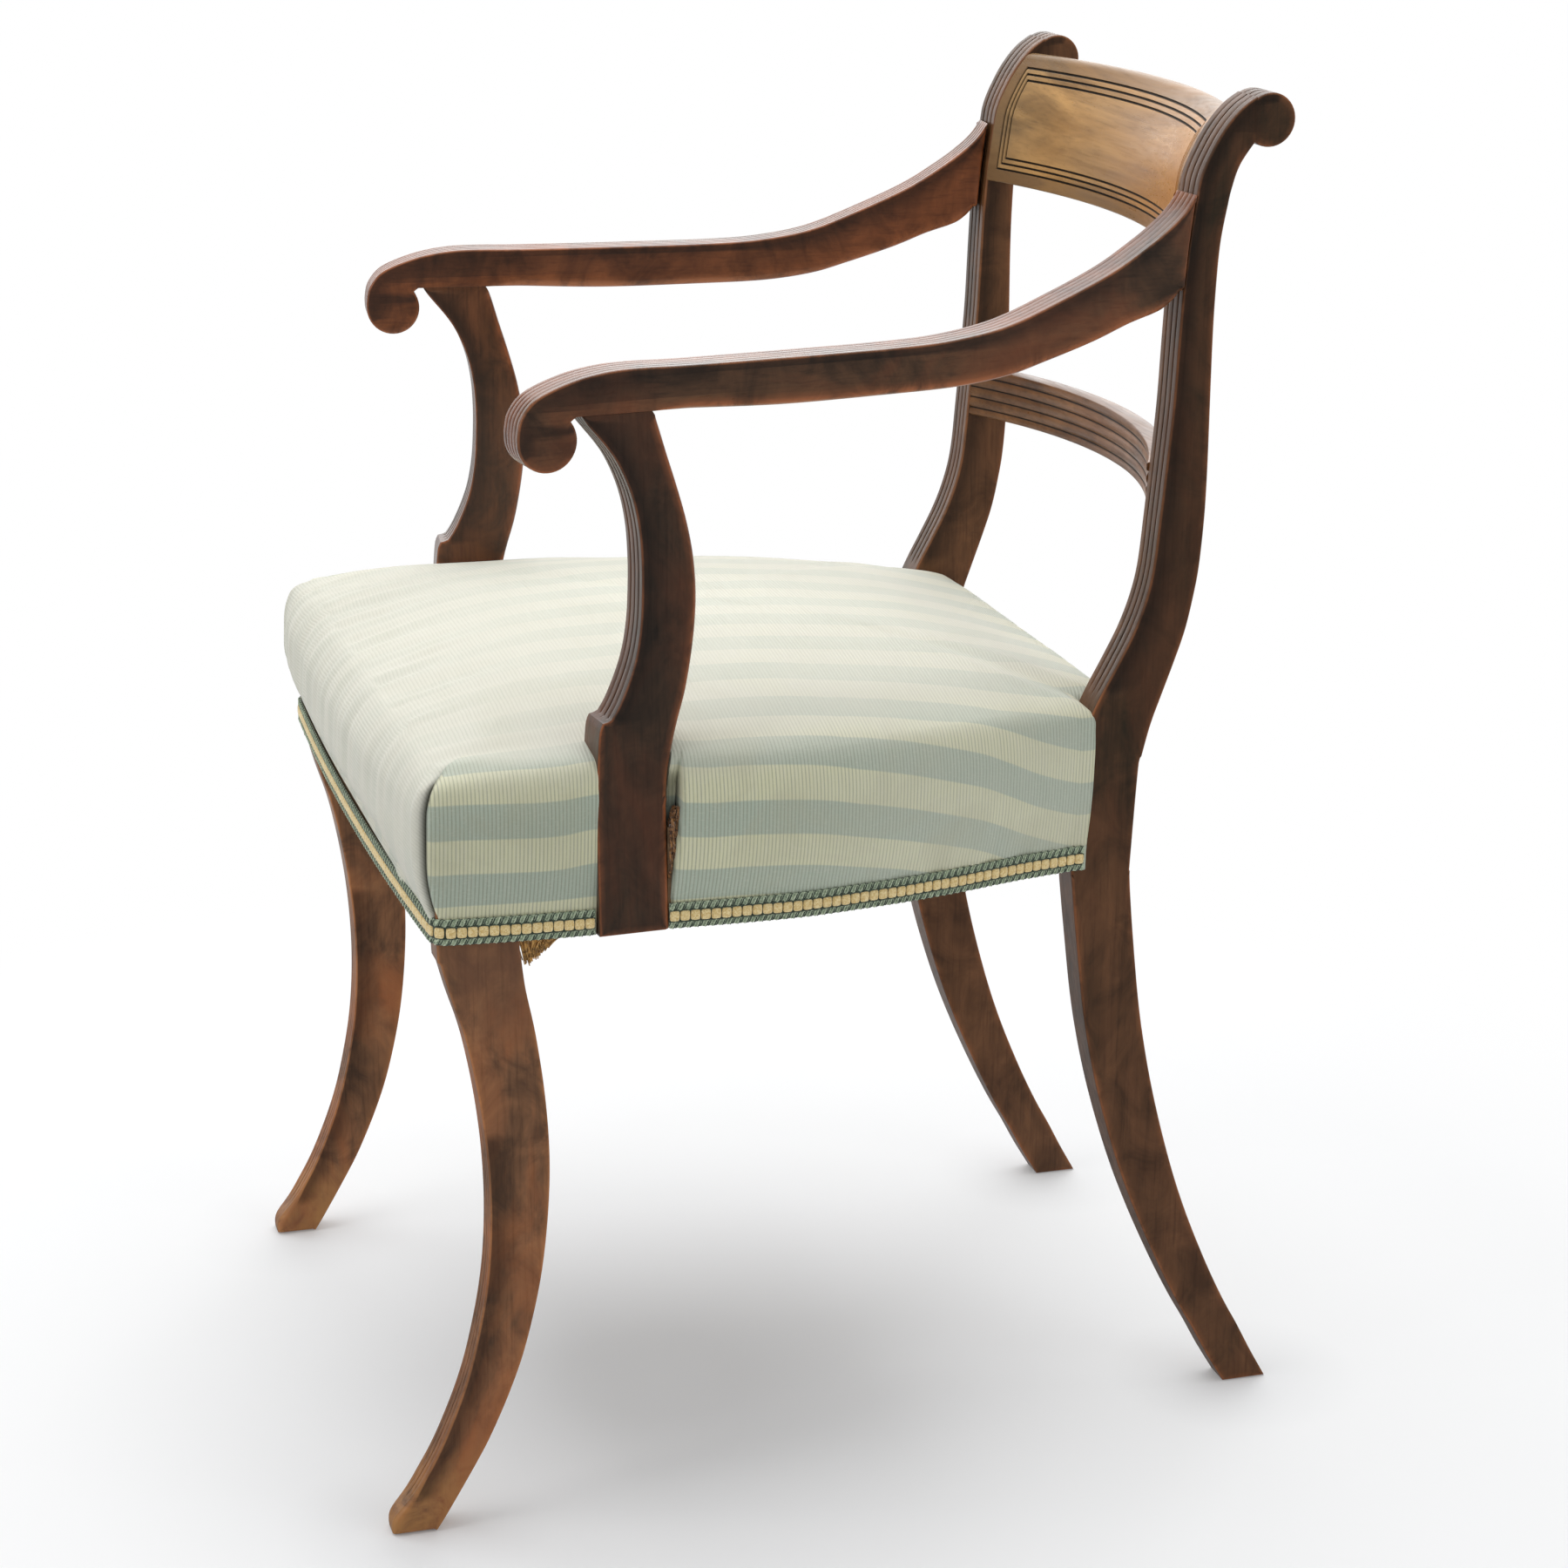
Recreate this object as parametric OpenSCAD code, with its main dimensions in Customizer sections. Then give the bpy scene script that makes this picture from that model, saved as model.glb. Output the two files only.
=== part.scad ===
// An elbow dining chair in dark mahogany, with sabre legs, scrolled arms and a stuffed seat.
// The origin is on the floor, on the centre line, midway between the toes and the heels.
// +X is the sitter's left, +Y is the back of the chair and +Z is up. Lengths are millimetres.
// Left and right are the sitter's. Every pair is made once, for the left, and mirrored.

/* [Seat frame] */
// Width over the front legs at the seat
seat_front_w = 478; // [440:1:520]
// Width over the back posts at the seat
seat_back_w = 371; // [340:1:400]
// Depth from the front legs to the front of the back posts
seat_d = 413; // [380:1:440]
// How far the front rail bows forward
front_bow = 6; // [1:0.5:10]
// Height of the underside of the rails at the front
rail_z = 382; // [350:1:410]
// Depth of the rails from top to bottom
rail_h = 62; // [54:1:72]
// Thickness of the rails
rail_t = 29; // [26:0.5:32]
// Fall of the seat towards the back, in degrees
seat_fall = 1.5; // [0:0.1:2.5]
// Distance that the back rail stands behind the front of the posts
back_rail_set = 4; // [2:0.5:6]

/* [Front legs] */
// Thickness of a front leg, across the chair
leg_t = 20.5; // [18:0.5:26]
// Depth of a front leg at the seat, from front to back
leg_d = 49; // [44:0.5:56]
// How far the toe stands out in front of the seat
toe_reach = 37.5; // [20:0.5:50]
// How far the leg's waist lies behind the front of the seat
waist_set = 28.5; // [15:0.5:36]
// How much further in each front leg stands at the floor
leg_lean = 4; // [0:0.5:8]

/* [Back posts] */
// Height of the back, to the top of the scrolls
back_h = 846; // [800:1:880]
// Thickness of a back post at the seat, across the chair
post_t = 25; // [22:0.5:29]
// Thickness of a back post at its top
post_top_t = 30; // [27:0.5:34]
// Thickness of a back post at the floor
post_foot_t = 21; // [18:0.5:24]
// Depth of a back post at the seat, from front to back
post_d = 40.5; // [38:0.5:44]
// How far the heel stands out behind the front of the posts
heel_reach = 120; // [90:1:140]
// How far the back leans behind the front of the posts at the seat
post_rake = 56.5; // [40:0.5:70]
// How far the tip of a post curls back beyond that
post_curl = 42; // [36:0.5:46]
// Radius of the scroll that ends a post
post_scroll_r = 16; // [14:0.5:18]

/* [Arms] */
// Thickness of an arm
arm_t = 25; // [22:0.5:27]
// Distance of the flat underside of an arm below the top of the back
arm_drop = 161; // [145:1:180]
// Depth of an arm from top to bottom, along its level part
arm_d = 25; // [23:0.5:29]
// Rise of the arm's top from its level part to the post
arm_sweep = 77.5; // [60:0.5:85]
// How far each arm stands in from the side of the seat at its scroll
arm_inset = 2.5; // [0:0.5:10]
// Distance of the scroll's centre behind the front of the seat
scroll_set = 71.5; // [60:0.5:80]
// Radius of an arm's scroll
arm_scroll_r = 17.7; // [16:0.1:19]
// Drop of the scroll's centre below the underside of the arm
scroll_drop = 13; // [11:0.5:15]

/* [Arm supports] */
// Depth of a support's foot, from front to back
support_d = 43.5; // [40:0.5:47]
// Distance of a support's foot behind the front of the seat
support_set = 94.5; // [92:0.5:105]
// How far a support's foot stands out beyond the face of its arm
support_splay = 12; // [9:0.5:14]
// Height of the straight foot of a support
support_foot_h = 68; // [64:1:76]

/* [Crest and mid rail] */
// Distance of the underside of the crest rail below the top of the back
crest_drop = 96; // [90:1:104]
// Height of the crest rail
crest_h = 84.5; // [76:0.5:86]
// Thickness of the crest rail, from front to back
crest_t = 19; // [16:0.5:20]
// How far the crest rail bows back between the posts
crest_bow = 27; // [18:0.5:34]
// Distance from the crest's edges to the first of its incised lines
crest_border = 8; // [6:0.5:12]
// Spacing of the crest's incised lines
line_pitch = 3.8; // [3:0.1:5]
// Number of the crest's incised lines
line_count = 3; // [2:1:3]
// Depth of the crest's incised lines
line_d = 1; // [0.5:0.1:1.4]
// Width of the crest's incised lines
line_w = 1.5; // [0.8:0.1:1.8]
// Place of the underside of the mid rail, as a share of the way from the seat up the back
mid_share = 0.375; // [0.33:0.005:0.42]
// Thickness of the mid rail
mid_t = 14; // [12:0.5:18]
// How far the mid rail bows back between the posts
mid_bow = 38; // [26:0.5:42]
// Height of each full reed on the mid rail
mid_reed_h = 7.3; // [6:0.1:9]
// Number of full reeds on the mid rail
mid_reeds = 3; // [2:1:4]
// How far the mid rail's reeds stand out
mid_reed_rise = 1.3; // [0.8:0.1:2]
// Height of the flat fillet over the mid rail's reeds
mid_fillet_h = 5; // [4:0.5:8]

/* [Reeding] */
// Number of reeds on a leg, post or support
reeds = 4; // [3:1:5]
// Number of reeds on an arm
arm_reeds = 5; // [4:1:6]
// Width of the groove between two reeds
groove_w = 1.4; // [1:0.1:2]
// Depth of a groove
groove_d = 1.3; // [0.8:0.1:2]

/* [Upholstery] */
// Width of a webbing strip
web_w = 50; // [45:1:55]
// Thickness of the webbing
web_t = 1.5; // [1:0.1:2]
// Number of webbing strips each way
web_count = 4; // [3:1:4]
// Thickness of the hessian over the webbing
hessian_t = 1; // [0.8:0.1:1.5]
// Height of the stuffing at the edge of the seat
stuffing_h = 40; // [30:1:45]
// Rise of the stuffing from its edge to its crown
crown_h = 32; // [20:1:38]
// How far the stuffing swells out beyond the frame, between the corners
swell = 10; // [4:0.5:12]
// How much lower the stuffing is at the corners
corner_dip = 8; // [4:0.5:12]
// Thickness of the cover
cover_t = 1.6; // [1.2:0.1:2]
// Height of the braid
braid_h = 13; // [11:0.5:15]
// Thickness of the braid
braid_t = 2.2; // [1.5:0.1:3]
// How far the cover and braid lap over the sides of the posts
post_lap = 8; // [5:0.5:12]

/* [Joints and fixings] */
// Thickness of a rail's tenons
tenon_t = 8; // [7:0.5:9]
// Length of the tenons of the side rails
tenon_l = 18; // [14:0.5:20]
// Length of the short tenons of the cross rails
stub_l = 9; // [6:0.5:11]
// Shoulder above and below a rail's tenon
shoulder = 11; // [9:0.5:14]
// Wood left between the tenons that meet in a post
tenon_wall = 1.5; // [1:0.1:2]
// Length of the edges of a corner block along the rails
block_l = 58; // [48:1:60]
// Height of a corner block
block_h = 40; // [34:1:46]
// Shank diameter of the wood screws
screw_d = 4; // [3.5:0.1:5]
// Head diameter of the wood screws
screw_head_d = 8; // [7:0.1:9]
// Height of a screw's head
screw_head_h = 2.6; // [2:0.1:3]
// How far a corner block's screws bite into the rails
screw_bite = 14; // [10:0.5:16]
// Diameter of the crest's dowels
crest_dowel_d = 6; // [5:0.5:7]
// Length of the crest's dowels
crest_dowel_l = 26; // [20:1:28]
// Diameter of the dowels that hold the arms to the posts
arm_dowel_d = 9; // [8:0.5:10]
// Length of the dowels that hold the arms to the posts
arm_dowel_l = 26; // [22:1:28]
// Clearance all round a tenon, dowel or screw in its hole
fit_gap = 0.2; // [0.1:0.05:0.4]
// Clearance round a post or support where the upholstery is cut for it
cloth_gap = 0.3; // [0.2:0.05:0.6]

/* [Loose fibres] */
// Length of the fibres that hang under the seat
tuft_l = 15; // [10:1:20]
// Width of the tuft where it leaves the rail
tuft_w = 13; // [8:1:18]
// Thickness of a strand of the tuft
tuft_strand_d = 1.6; // [1:0.1:2.5]
// Number of strands of the tuft
tuft_strands = 6; // [4:1:10]
// Distance of the tuft behind the front of the seat
tuft_set = 74; // [60:1:88]

/* [Hidden] */
// How far cuts run past what they cut
overrun = 5;
$fn = 48;
// Steps of a smoothed outline between two of its points
curve_steps = 3;
// Segments of a full turn for the shallow curves of the crest and mid rail
bow_fn = 240;
reed_fn = 96;

// Colours
wood_dark = [0.27, 0.17, 0.12];
wood_mid = [0.34, 0.21, 0.14];
wood_leg = [0.43, 0.30, 0.21];
wood_face = [0.62, 0.44, 0.28];
wood_plain = [0.66, 0.50, 0.34];
steel = [0.55, 0.54, 0.52];
jute = [0.62, 0.52, 0.34];
fabric = [0.80, 0.82, 0.74];
braid_gold = [0.62, 0.60, 0.40];

// Outlines of the boards. Each row is a height, then places along the chair, then a depth,
// all as shares of the sizes that they follow.
// Front leg: height, set of the waist, reach of the toe, depth
leg_shares = [
    [0, 0, 0.9, 0.52], [0.02, 0, 1, 0.7], [0.052, 0, 0.69, 0.61], [0.105, 0, 0.35, 0.59],
    [0.157, 0, 0.08, 0.6], [0.236, 0.32, 0, 0.62], [0.314, 0.62, 0, 0.65],
    [0.419, 0.89, 0, 0.68], [0.524, 1, 0, 0.72], [0.628, 0.975, 0, 0.77],
    [0.733, 0.83, 0, 0.81], [0.838, 0.57, 0, 0.855], [0.916, 0.26, 0, 0.92],
    [0.985, 0.02, 0, 1]];
// Where the leg's reeds start and end, up the leg
leg_reed_shares = [0.07, 0.68];
// Back post below the seat: height, reach of the heel, depth
post_low_shares = [
    [0, 1, 0.74], [0.054, 0.9, 0.76], [0.108, 0.81, 0.77], [0.162, 0.715, 0.78],
    [0.242, 0.59, 0.8], [0.35, 0.44, 0.835], [0.458, 0.313, 0.88], [0.593, 0.188, 0.92],
    [0.727, 0.1, 0.94], [0.862, 0.045, 0.945], [0.956, 0.012, 0.955], [1, 0, 0.97]];
// Back post above the seat: height, rake, curl of the tip, depth
post_high_shares = [
    [0, 0, 0, 1.05], [0.065, 0.1, 0, 1.07], [0.114, 0.25, 0, 1.03], [0.162, 0.435, 0, 0.945],
    [0.211, 0.615, 0, 0.855], [0.26, 0.745, 0, 0.78], [0.308, 0.82, 0, 0.75],
    [0.38, 0.87, 0, 0.73], [0.453, 0.915, 0, 0.68], [0.55, 0.97, 0, 0.595],
    [0.647, 1, 0, 0.545], [0.719, 1, 0.035, 0.52], [0.792, 1, 0.095, 0.5],
    [0.86, 1, 0.18, 0.53]];
// Front of the tip, then the hollow behind it under the scroll: height, curl
post_tip_shares = [
    [0.881, 0.215], [0.901, 0.285], [0.918, 0.365], [0.937, 0.465], [0.954, 0.575],
    [0.969, 0.695], [0.983, 0.84], [0.995, 1.02]];
post_hollow_shares = [[0.935, 1.06], [0.913, 0.9], [0.898, 0.81], [0.884, 0.755]];
post_scroll_share = 1.24;
// Arm's end round the scroll: places along and up from its centre, as shares of its radius
arm_scroll_shares = [
    [-0.74, -0.67], [-0.94, -0.34], [-1, 0], [-0.98, 0.38], [-0.83, 0.87], [-0.3, 1.42]];
// Arm's top, then its underside: place along the arm, share of its depth, share of its sweep
arm_top_shares = [
    [0.039, 0.81, 0], [0.09, 0.965, 0], [0.14, 1, 0], [0.22, 0.98, 0], [0.42, 0.99, 0],
    [0.54, 1, 0.005], [0.618, 1, 0.03], [0.7, 1, 0.105], [0.783, 1, 0.265],
    [0.867, 1, 0.457], [0.924, 1, 0.635], [0.958, 1, 0.76], [0.983, 1, 0.877], [1, 1, 1]];
arm_under_shares = [
    [0.98, 0, 0.59], [0.953, 0, 0.46], [0.899, 0, 0.365], [0.842, 0, 0.25], [0.759, 0, 0.115],
    [0.702, 0, 0.036], [0.62, -0.05, 0], [0.5, -0.1, 0], [0.35, -0.12, 0], [0.22, -0.04, 0]];
arm_notch_share = 0.98;
// Front and back of a support above its straight foot: depth, height
support_front_shares = [
    [0, 0], [0.07, 0.22], [0.24, 0.25], [0.4, 0.3], [0.58, 0.383], [0.675, 0.468],
    [0.71, 0.553], [0.717, 0.638], [0.685, 0.723], [0.58, 0.809], [0.37, 0.894],
    [0.03, 0.975], [-0.06, 1]];
support_back_shares = [
    [0.91, 1], [0.98, 0.975], [1.11, 0.894], [1.25, 0.809], [1.375, 0.723], [1.457, 0.638],
    [1.485, 0.553], [1.46, 0.468], [1.395, 0.383], [1.3, 0.298], [1.16, 0.21],
    [1.03, 0.1], [1, 0]];
// Plan of a side rail's outer face: share of the taper from post to leg, share of the depth
side_shares = [
    [1, 0], [1.02, 0.08], [1.02, 0.16], [0.99, 0.26], [0.97, 0.34], [0.95, 0.44],
    [0.9, 0.54], [0.79, 0.62], [0.66, 0.7], [0.45, 0.8], [0.2, 0.9], [0, 1]];
// Stops of the seat's plan along each half of the front and along each side
front_stop_shares = [0.12, 0.36, 0.6, 0.8, 1];
side_stop_shares = [0.06, 0.13, 0.2, 0.28, 0.36, 0.44, 0.52, 0.6, 0.68, 0.76, 0.84, 0.92];
// Rings of the stuffing: height, swell, size in plan, crown
pad_shares = [
    [0, 0.95, 1, 0], [0.3, 0.9, 1, 0], [0.56, 0.62, 1, 0], [0.8, 0.15, 1, 0],
    [0.95, 0, 0.98, 0.01], [1, 0, 0.935, 0.09], [1, 0, 0.86, 0.25], [1, 0, 0.74, 0.48],
    [1, 0, 0.55, 0.76], [1, 0, 0.32, 0.94], [1, 0, 0.12, 1]];
// Rings of the cover between the braid and the stuffing: height, swell
cover_low_shares = [[0, 0], [0.36, 0.5], [0.74, 0.9]];
// How much of the swell is drawn in at the corners
drawn_in_share = 0.6;

function reversed(points) = [for (i = [len(points) - 1 : -1 : 0]) points[i]];
function mirrored(points) = [for (p = reversed(points)) [-p[0], p[1]]];
function between(line, low, high) = [for (p = line) if (p[1] >= low && p[1] <= high) p];
function unit(v) = v / norm(v);

// A smooth line through a list of points
function curve_point(a, b, c, d, t) =
    0.5 * (2 * b + (c - a) * t + (2 * a - 5 * b + 4 * c - d) * t * t
        + (3 * b - a - 3 * c + d) * t * t * t);
function smooth(points) =
    let (last = len(points) - 1)
    [for (i = [0 : last - 1]) for (k = [0 : curve_steps - 1])
        curve_point(points[max(i - 1, 0)], points[i], points[i + 1],
            points[min(i + 2, last)], k / curve_steps),
        points[last]];

// A closed outline moved outwards by a distance at each of its points
function outward(a, b) = let (d = unit(b - a)) [d[1], -d[0]];
function mitre(points, i) =
    let (
        count = len(points),
        before = outward(points[(i + count - 1) % count], points[i]),
        after = outward(points[i], points[(i + 1) % count]))
    (before + after) / (1 + before * after);
function grown(points, distance) =
    [for (i = [0 : len(points) - 1]) points[i] + distance * mitre(points, i)];

// The place along the chair of a line at a height
function place_at(line, z) = lookup(z, [for (p = line) [p[1], p[0]]]);

// Places of the frame
front_half = seat_front_w / 2;
back_half = seat_back_w / 2;
leg_in = front_half - leg_t;
post_in = back_half - post_t;
post_foot_d = post_low_shares[0][2] * post_d;
front_y = toe_reach - (toe_reach + seat_d + heel_reach + post_foot_d) / 2;
post_y = front_y + seat_d;
leg_back_y = front_y + leg_d;
rail_top_z = rail_z + rail_h;
back_rail_z = rail_z - seat_d * sin(seat_fall);
back_rail_top_z = back_rail_z + rail_h;
web_z = rail_h;
hessian_z = rail_h + 2 * web_t;
arm_z = back_h - arm_drop;
crest_z = back_h - crest_drop;
arm_front_w = seat_front_w - 2 * arm_inset;
pad_z = hessian_z + hessian_t;

// Front legs
leg_straight_z = leg_shares[len(leg_shares) - 1][0] * rail_z;
function leg_place(row) = front_y + row[1] * waist_set - row[2] * toe_reach;
leg_front_line = smooth([for (row = leg_shares) [leg_place(row), row[0] * rail_z]]);
leg_back_line = smooth([for (row = leg_shares)
    [leg_place(row) + row[3] * leg_d, row[0] * rail_z]]);
leg_outline = concat(
    leg_front_line, [[front_y, rail_top_z + overrun], [leg_back_y, rail_top_z + overrun]],
    reversed(leg_back_line));

// Back posts
post_high_h = back_h - back_rail_top_z;
mid_z = back_rail_top_z + mid_share * post_high_h;
function post_high_z(share) = back_rail_top_z + share * post_high_h;
function post_high_place(row) = post_y + row[1] * post_rake + row[2] * post_curl;
function post_tip_point(row) = [post_y + post_rake + row[1] * post_curl, post_high_z(row[0])];
post_front_line = concat(
    smooth([for (row = post_low_shares) [post_y + row[1] * heel_reach, row[0] * back_rail_z]]),
    smooth(concat(
        [for (row = post_high_shares) [post_high_place(row), post_high_z(row[0])]],
        [for (row = post_tip_shares) post_tip_point(row)])));
post_back_line = concat(
    smooth([for (row = post_low_shares)
        [post_y + row[1] * heel_reach + row[2] * post_d, row[0] * back_rail_z]]),
    smooth([for (row = post_high_shares)
        [post_high_place(row) + row[3] * post_d, post_high_z(row[0])]]));
post_scroll_y = post_y + post_rake + post_scroll_share * post_curl;
post_scroll_z = back_h - post_scroll_r;
post_outline = concat(
    post_front_line, [[post_scroll_y, post_scroll_z]],
    smooth([for (row = post_hollow_shares) post_tip_point(row)]), reversed(post_back_line));
post_out_top = post_in + post_top_t;
// The post's reeding starts just over the seat
post_reed_z = back_rail_top_z + stuffing_h + 2 * cover_t;

// Arms, in a frame of their own that starts over the scroll's centre, on the outer face
scroll_y = front_y + scroll_set;
scroll_z = arm_z - scroll_drop;
arm_tip_z = arm_z + arm_d + arm_sweep;
arm_tip_y = place_at(post_front_line, arm_tip_z);
arm_tip_x = back_half
    + (post_out_top - back_half) * (arm_tip_z - back_rail_top_z) / post_high_h;
arm_splay = atan((arm_front_w / 2 - arm_tip_x) / (arm_tip_y - scroll_y));
arm_l = (arm_tip_y - scroll_y) / cos(arm_splay);
function arm_point(row) = [row[0] * arm_l, arm_z + row[1] * arm_d + row[2] * arm_sweep];
arm_top_line = smooth(concat(
    [for (s = arm_scroll_shares) [s[0] * arm_scroll_r, scroll_z + s[1] * arm_scroll_r]],
    [for (row = arm_top_shares) arm_point(row)]));
arm_under_line = smooth([for (row = arm_under_shares) arm_point(row)]);
arm_end_low_z = arm_under_line[0][1];
// The arm's top goes on in line past the front of the post, which cuts it off
arm_end_y = arm_l + 2 * overrun;
arm_end_way = unit(arm_top_line[len(arm_top_line) - 1] - arm_top_line[len(arm_top_line) - 2]);
arm_end_z = arm_tip_z + (arm_end_y - arm_l) * arm_end_way[1] / arm_end_way[0];
arm_groove_line = concat(arm_top_line, [[arm_end_y, arm_end_z]]);

// Arm supports, in the frame of their arm
support_curve_z = rail_z + support_foot_h;
support_front_y = (front_y + support_set - scroll_y) / cos(arm_splay);
support_back_y = support_front_y + support_d;
function support_point(s) =
    [support_front_y + s[0] * support_d, support_curve_z + s[1] * (arm_z - support_curve_z)];
support_front_line = smooth([for (s = support_front_shares) support_point(s)]);
support_back_line = smooth([for (s = support_back_shares) support_point(s)]);
support_top_front_y = support_front_line[len(support_front_line) - 1][0];
support_top_back_y = support_back_line[0][0];
support_low_z = rail_z - rail_h / 2;
support_outline = concat(
    [[support_front_y, support_low_z]], support_front_line,
    support_back_line, [[support_back_y, support_low_z]]);
arm_outline = concat(
    arm_groove_line, [[arm_end_y, arm_end_low_z]], arm_under_line,
    [[support_top_back_y, arm_z], [arm_notch_share * arm_scroll_r, arm_z]]);

// Plan of the seat, in the seat's own frame: x across, y from the front of the legs
function rail_inner(y) =
    front_half - rail_t + (post_in - front_half + rail_t) * (y - leg_d) / (seat_d - leg_d);
seat_back_x = post_in - cover_t - 2 * cloth_gap;
side_line = smooth([for (s = side_shares)
    [back_half + s[0] * (front_half - back_half), s[1] * seat_d]]);
function side_x(y) = lookup(y, [for (p = side_line) [p[1], p[0]]]);
back_rail_y = seat_d + back_rail_set;
seat_end_y = back_rail_y + rail_t;
seat_half = concat(
    [for (s = front_stop_shares) [s * front_half, -front_bow * (1 - s * s)]],
    [for (s = side_stop_shares) [side_x(s * seat_d), s * seat_d]],
    [[back_half, seat_d], [back_half, seat_d + post_lap],
    [seat_back_x, seat_d + post_lap], [seat_back_x, seat_end_y]]);
seat_outline = concat(seat_half, mirrored(seat_half));
seat_middle = [0, seat_d / 2];

// Rails and upholstery lie in a frame that falls towards the back with the seat
module seat_frame() {
    translate([0, front_y, rail_z]) rotate([-seat_fall, 0, 0]) children();
}

module arm_frame() {
    translate([arm_front_w / 2, scroll_y, 0]) rotate([0, 0, arm_splay]) children();
}

module both_sides() {
    children();
    mirror([1, 0, 0]) children();
}

// A board whose outline is its side view, between two places across the chair
module board(outline, from_x, to_x) {
    translate([from_x, 0, 0]) rotate([90, 0, 90]) linear_extrude(to_x - from_x)
        polygon(outline);
}

// The space behind an outline that is a front view, right through the chair
module front_view(outline) {
    translate([0, seat_d, 0]) rotate([90, 0, 0]) linear_extrude(2 * seat_d) polygon(outline);
}

// The grooves between reeds: strips that follow a line in side view
function strip(line) =
    let (
        last = len(line) - 1,
        normals = [for (i = [0 : last])
            let (ahead = unit(line[min(i + 1, last)] - line[max(i - 1, 0)]))
            [ahead[1], -ahead[0]]])
    concat(
        [for (i = [0 : last]) line[i] + groove_d * normals[i]],
        [for (i = [last : -1 : 0]) line[i] - groove_d * normals[i]]);

module grooves(line, from_x, width, count) {
    for (k = [1 : count - 1]) {
        middle = from_x + k * width / count;
        board(strip(line), middle - groove_w / 2, middle + groove_w / 2);
    }
}

// All that lies over or under the rails, for trimming what ends flush with them
module over_rails() {
    seat_frame() translate([-seat_front_w, -seat_d, rail_h])
        cube([2 * seat_front_w, 3 * seat_d, rail_z]);
}

module under_rails() {
    seat_frame() translate([-seat_front_w, -seat_d, -rail_z])
        cube([2 * seat_front_w, 3 * seat_d, rail_z]);
}

// Tenons, in the seat's frame or the chair's. A mortise is the tenon grown by the clearance.
module block_of(corner, size, grow) {
    translate(corner - [grow, grow, grow]) cube(size + 2 * [grow, grow, grow]);
}

module side_front_tenon(grow = 0) {
    block_of([front_half - leg_t / 2 - tenon_t / 2, leg_d - tenon_l, shoulder],
        [tenon_t, tenon_l + overrun, rail_h - 2 * shoulder], grow);
}

module side_back_tenon(grow = 0) {
    block_of([back_half - post_t / 2 - tenon_t / 2, seat_d - overrun, shoulder],
        [tenon_t, tenon_l + overrun, rail_h - 2 * shoulder], grow);
}

module front_tenon(grow = 0) {
    block_of([leg_in - overrun, rail_t / 2 - tenon_t / 2, shoulder],
        [stub_l + overrun, tenon_t, rail_h - 2 * shoulder], grow);
}

module back_tenon(grow = 0) {
    block_of([post_in - overrun, seat_d + tenon_l + tenon_wall, shoulder],
        [stub_l + overrun, tenon_t, rail_h - 2 * shoulder], grow);
}

mid_low_share = 0.74;
mid_h = (mid_reeds + mid_low_share) * mid_reed_h + mid_reed_rise + mid_fillet_h;
mid_front_y = place_at(post_front_line, mid_z + mid_h / 2);
module mid_tenon(grow = 0) {
    block_of([post_in - overrun, mid_front_y + mid_t / 4, mid_z + mid_h / 6],
        [stub_l + overrun, mid_t / 2, mid_h * 2 / 3], grow);
}

crest_dowel_shares = [0.22, 0.62];
module crest_dowels_at(grow = 0) {
    for (s = crest_dowel_shares) {
        z = crest_z + s * crest_h;
        translate([post_in - crest_dowel_l / 2 - grow,
            place_at(post_front_line, z) + crest_t / 2, z])
            rotate([0, 90, 0])
                cylinder(d = crest_dowel_d + 2 * grow, h = crest_dowel_l + 2 * grow);
    }
}

// Place of the arm's dowel up the arm's end, and the part of it that is in the post
arm_dowel_shares = [0.35, 0.42];
arm_dowel_z = arm_end_low_z + arm_dowel_shares[0] * (arm_tip_z - arm_end_low_z);
arm_dowel_bite = arm_dowel_shares[1] * arm_dowel_l;
module arm_dowel_at(grow = 0) {
    translate([arm_tip_x - arm_t / 2,
        place_at(post_front_line, arm_dowel_z) + arm_dowel_bite + grow, arm_dowel_z])
        rotate([90, 0, 0])
            cylinder(d = arm_dowel_d + 2 * grow, h = arm_dowel_l + 2 * grow);
}

// The tenon on top of a support, in the arm's frame
support_tenon_w = support_d / 2;
module support_tenon(grow = 0) {
    block_of(
        [-arm_t / 2 - tenon_t / 2,
            (support_top_front_y + support_top_back_y - support_tenon_w) / 2, arm_z - overrun],
        [tenon_t, support_tenon_w, arm_d / 2 + overrun], grow);
}

// A screw with its tip at the origin, and its hole with the counterbore over its head
module screw(length) {
    cylinder(d = screw_d, h = length);
    translate([0, 0, length]) cylinder(d1 = screw_d, d2 = screw_head_d, h = screw_head_h);
}

module screw_hole(length, bore) {
    translate([0, 0, -fit_gap]) cylinder(d = screw_d + 2 * fit_gap, h = length + fit_gap);
    translate([0, 0, length]) cylinder(
        d1 = screw_d + 2 * fit_gap, d2 = screw_head_d + 2 * fit_gap, h = screw_head_h);
    translate([0, 0, length + screw_head_h])
        cylinder(d = screw_head_d + 2 * fit_gap, h = bore);
}

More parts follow.
